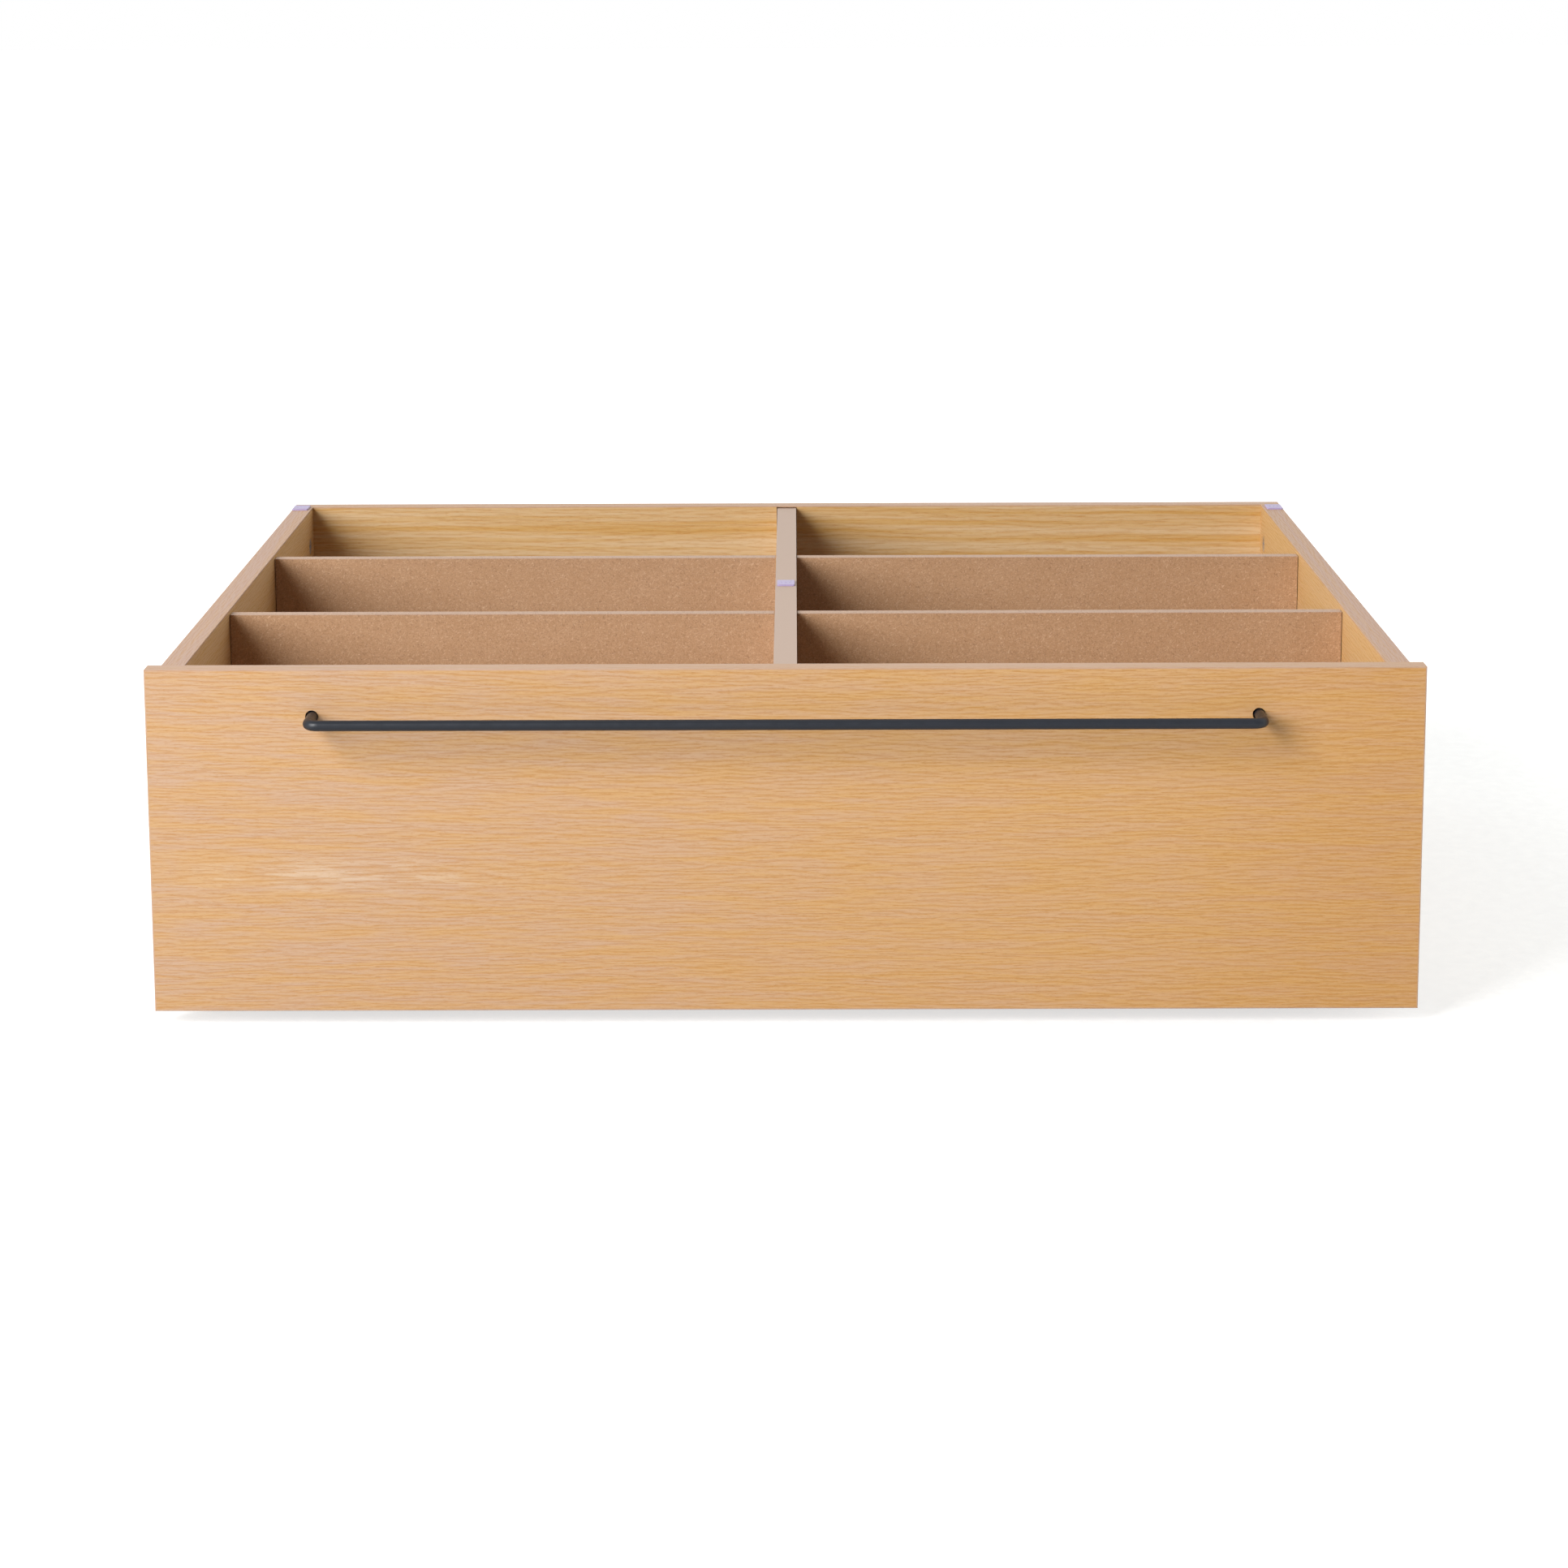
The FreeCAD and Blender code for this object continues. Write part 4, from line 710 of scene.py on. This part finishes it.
class DRAWER_OT_casters(bpy.types.Operator):
    """Finish the casters and mould ribs into both sides of each wheel"""
    bl_idname = "drawer.casters"
    bl_label = "Casters"
    bl_options = {"REGISTER", "UNDO"}

    # Metres: half the web's thickness, the hub, the rim's inner face, and how far ribs sink in.
    web_half = 0.003
    hub_radius = 0.007
    rim_inside = 0.014
    joint_sink = 0.0004

    def execute(self, context):
        fittings = context.scene.drawer_fittings
        sheet = smooth_material("caster_sheet", fittings.sheet, grit=0.0005, roughness=0.38,
                                relief=0.00002, brushing=0.16, Metallic=1.0)
        moulding = smooth_material("wheel_moulding", fittings.wheel, grit=0.0005, roughness=0.48,
                                   relief=0.00003)
        rubber = smooth_material("tread_rubber", fittings.tread, grit=0.0006, roughness=0.66,
                                 relief=0.00005)
        for corner in CORNERS:
            dress(sheet, f"{corner}_caster_fork", f"{corner}_axle")
            dress(moulding, f"{corner}_wheel_centre")
            dress(rubber, f"{corner}_tread")
            self.add_ribs(context, corner, moulding, fittings)
        return {"FINISHED"}

    def add_ribs(self, context, corner, material, fittings):
        """Ribs between a wheel's hub and rim, on both sides of its web."""
        low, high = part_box(f"{corner}_tread")
        centre, half = (low + high) / 2, (high.x - low.x) / 2
        reach = half - fittings.rib_inset - self.web_half + self.joint_sink
        span = self.rim_inside - self.hub_radius + 2 * self.joint_sink
        mesh = bmesh.new()
        rib = bmesh.ops.create_cube(mesh, size=1.0)["verts"]
        bmesh.ops.scale(mesh, vec=(reach, fittings.rib_thick, span), verts=rib)
        bmesh.ops.bevel(mesh, geom=mesh.edges[:], offset=fittings.rib_round, segments=2,
                        profile=0.5, affect="EDGES", material=-1)
        middle = Vector((self.web_half - self.joint_sink + reach / 2, 0.0,
                         (self.hub_radius + self.rim_inside) / 2))
        bmesh.ops.translate(mesh, vec=middle, verts=mesh.verts[:])
        count = fittings.rib_count
        bmesh.ops.spin(mesh, geom=mesh.verts[:] + mesh.edges[:] + mesh.faces[:], cent=(0, 0, 0),
                       axis=(1, 0, 0), angle=math.tau * (count - 1) / count, steps=count - 1,
                       use_duplicate=True)
        bmesh.ops.mirror(mesh, geom=mesh.verts[:] + mesh.edges[:] + mesh.faces[:],
                         matrix=Matrix.Identity(4), merge_dist=-1.0, axis="X")
        bmesh.ops.recalc_face_normals(mesh, faces=mesh.faces[:])
        bmesh.ops.translate(mesh, vec=centre, verts=mesh.verts[:])
        piece = add_piece(context, f"{corner}_wheel_ribs", mesh, material)
        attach(piece, f"{corner}_wheel")


def add_piece(context, name, mesh, material):
    """Turn a finished bmesh into a named object with one material."""
    data = bpy.data.meshes.new(name)
    mesh.to_mesh(data)
    mesh.free()
    data.materials.append(material)
    piece = bpy.data.objects.new(name, data)
    context.scene.collection.objects.link(piece)
    return piece


class DRAWER_OT_stage(bpy.types.Operator):
    """Set up the pale floor, the key light, the even light all round and the camera"""
    bl_idname = "drawer.stage"
    bl_label = "Stage"
    bl_options = {"REGISTER", "UNDO"}

    def execute(self, context):
        studio = context.scene.drawer_studio
        self.add_floor(context, studio)
        self.add_lights(context, studio)
        self.light_world(context, studio)
        self.add_camera(context, studio)
        context.scene.view_settings.view_transform = "Standard"
        return {"FINISHED"}

    def add_floor(self, context, studio):
        """A wide floor that looks white to the camera and keeps the drawer's shadow."""
        material, graph, shader = new_material("floor")
        look = graph.place(fine_group(), Place=graph.grain_place("XYZ"), Ground=studio.floor,
                           Grit=0.004, Roughness=0.9, Brushing=0.0)
        finish(graph, shader, look, relief=0.0001, Specular_IOR_Level=0.0)
        seen = graph.add("LightPath").outputs
        shown = graph.calc("MAXIMUM", seen["Is Camera Ray"], seen["Is Glossy Ray"])
        away = graph.add("VectorMath", graph.add("TexCoord").outputs["Object"],
                         operation="LENGTH").outputs["Value"]
        glow = graph.calc("MULTIPLY", shown, graph.span(away, studio.shadow_reach / 2,
                                                        studio.shadow_reach,
                                                        studio.floor_glow, 1.0))
        light = graph.add("Emission", WHITE, glow)
        both = graph.add("AddShader", shader.outputs[0], light.outputs[0])
        output = next(node for node in graph.tree.nodes if node.type == "OUTPUT_MATERIAL")
        graph.fill(output.inputs[0], both.outputs[0])
        mesh = bmesh.new()
        bmesh.ops.create_grid(mesh, x_segments=2, y_segments=2, size=studio.floor_size / 2)
        add_piece(context, "floor", mesh, material)

    def add_lights(self, context, studio):
        """A tall key light at the front left and a softer light from the right."""
        middle = (cad_box[0] + cad_box[1]) / 2
        place = Vector(studio.key_place)
        key = self.add_lamp(context, "key", "AREA", middle - place, studio.key_power,
                            shape="RECTANGLE", size=studio.key_width, size_y=studio.key_height)
        key.location = place
        self.add_lamp(context, "side", "SUN", studio.side_way, studio.side_strength,
                      angle=studio.side_spread)

    def add_lamp(self, context, name, kind, way, energy, **settings):
        """Add a lamp that shines a given way, with its other settings."""
        data = bpy.data.lights.new(name, kind)
        data.energy = energy
        for setting, value in settings.items():
            setattr(data, setting, value)
        lamp = bpy.data.objects.new(name, data)
        lamp.rotation_euler = Vector(way).to_track_quat("-Z", "Y").to_euler()
        context.scene.collection.objects.link(lamp)
        return lamp

    def light_world(self, context, studio):
        """Even light, more of it from behind, that looks white to the camera and in gloss."""
        world = bpy.data.worlds.new("studio")
        world.use_nodes = True
        world.node_tree.nodes.clear()
        graph = Graph(world.node_tree)
        seen = graph.add("LightPath").outputs
        shown = graph.calc("MAXIMUM", seen["Is Camera Ray"],
                           graph.calc("MAXIMUM", seen["Is Glossy Ray"],
                                      seen["Is Transmission Ray"]))
        behind = graph.split(graph.add("TexCoord").outputs["Generated"])[1]
        strength = graph.span(behind, 0.0, 0.7, 0.0, studio.rear_strength)
        light = graph.mix(1.0, graph.join(strength, strength, strength), studio.rear_tint,
                          "MULTIPLY")
        fill = (studio.fill_strength,) * 3
        light = graph.mix(1.0, light, fill, "ADD")
        light = graph.add("Background", graph.mix(shown, light, WHITE), 1.0)
        graph.add("OutputWorld", light.outputs[0])
        context.scene.world = world

    def add_camera(self, context, studio):
        """Camera in front of the drawer and a little above it."""
        data = bpy.data.cameras.new("camera")
        data.lens = studio.lens
        data.sensor_width = 36.0
        data.shift_y = studio.shift
        data.clip_end = 100.0
        camera = bpy.data.objects.new("camera", data)
        pitch, yaw, roll = studio.camera_turn
        camera.matrix_world = (Matrix.Translation(studio.camera_place)
                               @ Matrix.Rotation(-yaw, 4, "Z")
                               @ Matrix.Rotation(math.pi / 2 - pitch, 4, "X")
                               @ Matrix.Rotation(roll, 4, "Z"))
        context.scene.collection.objects.link(camera)
        context.scene.camera = camera


# ---------------------------------------------------------------- add-on
GROUPS = {"drawer_oak": DrawerOakSettings, "drawer_boards": DrawerBoardSettings,
          "drawer_fittings": DrawerFittingSettings, "drawer_studio": DrawerStudioSettings}
OPERATORS = (DRAWER_OT_front_panel, DRAWER_OT_rear_panel, DRAWER_OT_side_panels,
             DRAWER_OT_edge_bands, DRAWER_OT_centre_divider, DRAWER_OT_cross_dividers,
             DRAWER_OT_bottoms_and_rails, DRAWER_OT_handle, DRAWER_OT_fixings,
             DRAWER_OT_glide_pads, DRAWER_OT_casters, DRAWER_OT_stage)


class DRAWER_PT_sidebar(bpy.types.Panel):
    """Lists the drawer's operators and settings"""
    bl_idname = "DRAWER_PT_sidebar"
    bl_label = "Divided Storage Drawer"
    bl_space_type = "VIEW_3D"
    bl_region_type = "UI"
    bl_category = "Drawer"

    def draw(self, context):
        for operator in OPERATORS:
            self.layout.operator(operator.bl_idname)
        for name, group in GROUPS.items():
            box = self.layout.box()
            for setting in group.__annotations__:
                box.prop(getattr(context.scene, name), setting)


CLASSES = (*GROUPS.values(), *OPERATORS, DRAWER_PT_sidebar)


def register():
    """Register the classes and hang the settings on the scene."""
    for item in CLASSES:
        bpy.utils.register_class(item)
    for name, group in GROUPS.items():
        setattr(bpy.types.Scene, name, bpy.props.PointerProperty(type=group))


def unregister():
    """Take the settings and the classes away again."""
    for name in GROUPS:
        delattr(bpy.types.Scene, name)
    for item in reversed(CLASSES):
        bpy.utils.unregister_class(item)


def main():
    """Build everything in order."""
    register()
    for operator in OPERATORS:
        family, name = operator.bl_idname.split(".")
        getattr(getattr(bpy.ops, family), name)()


if __name__ == "__main__":
    main()
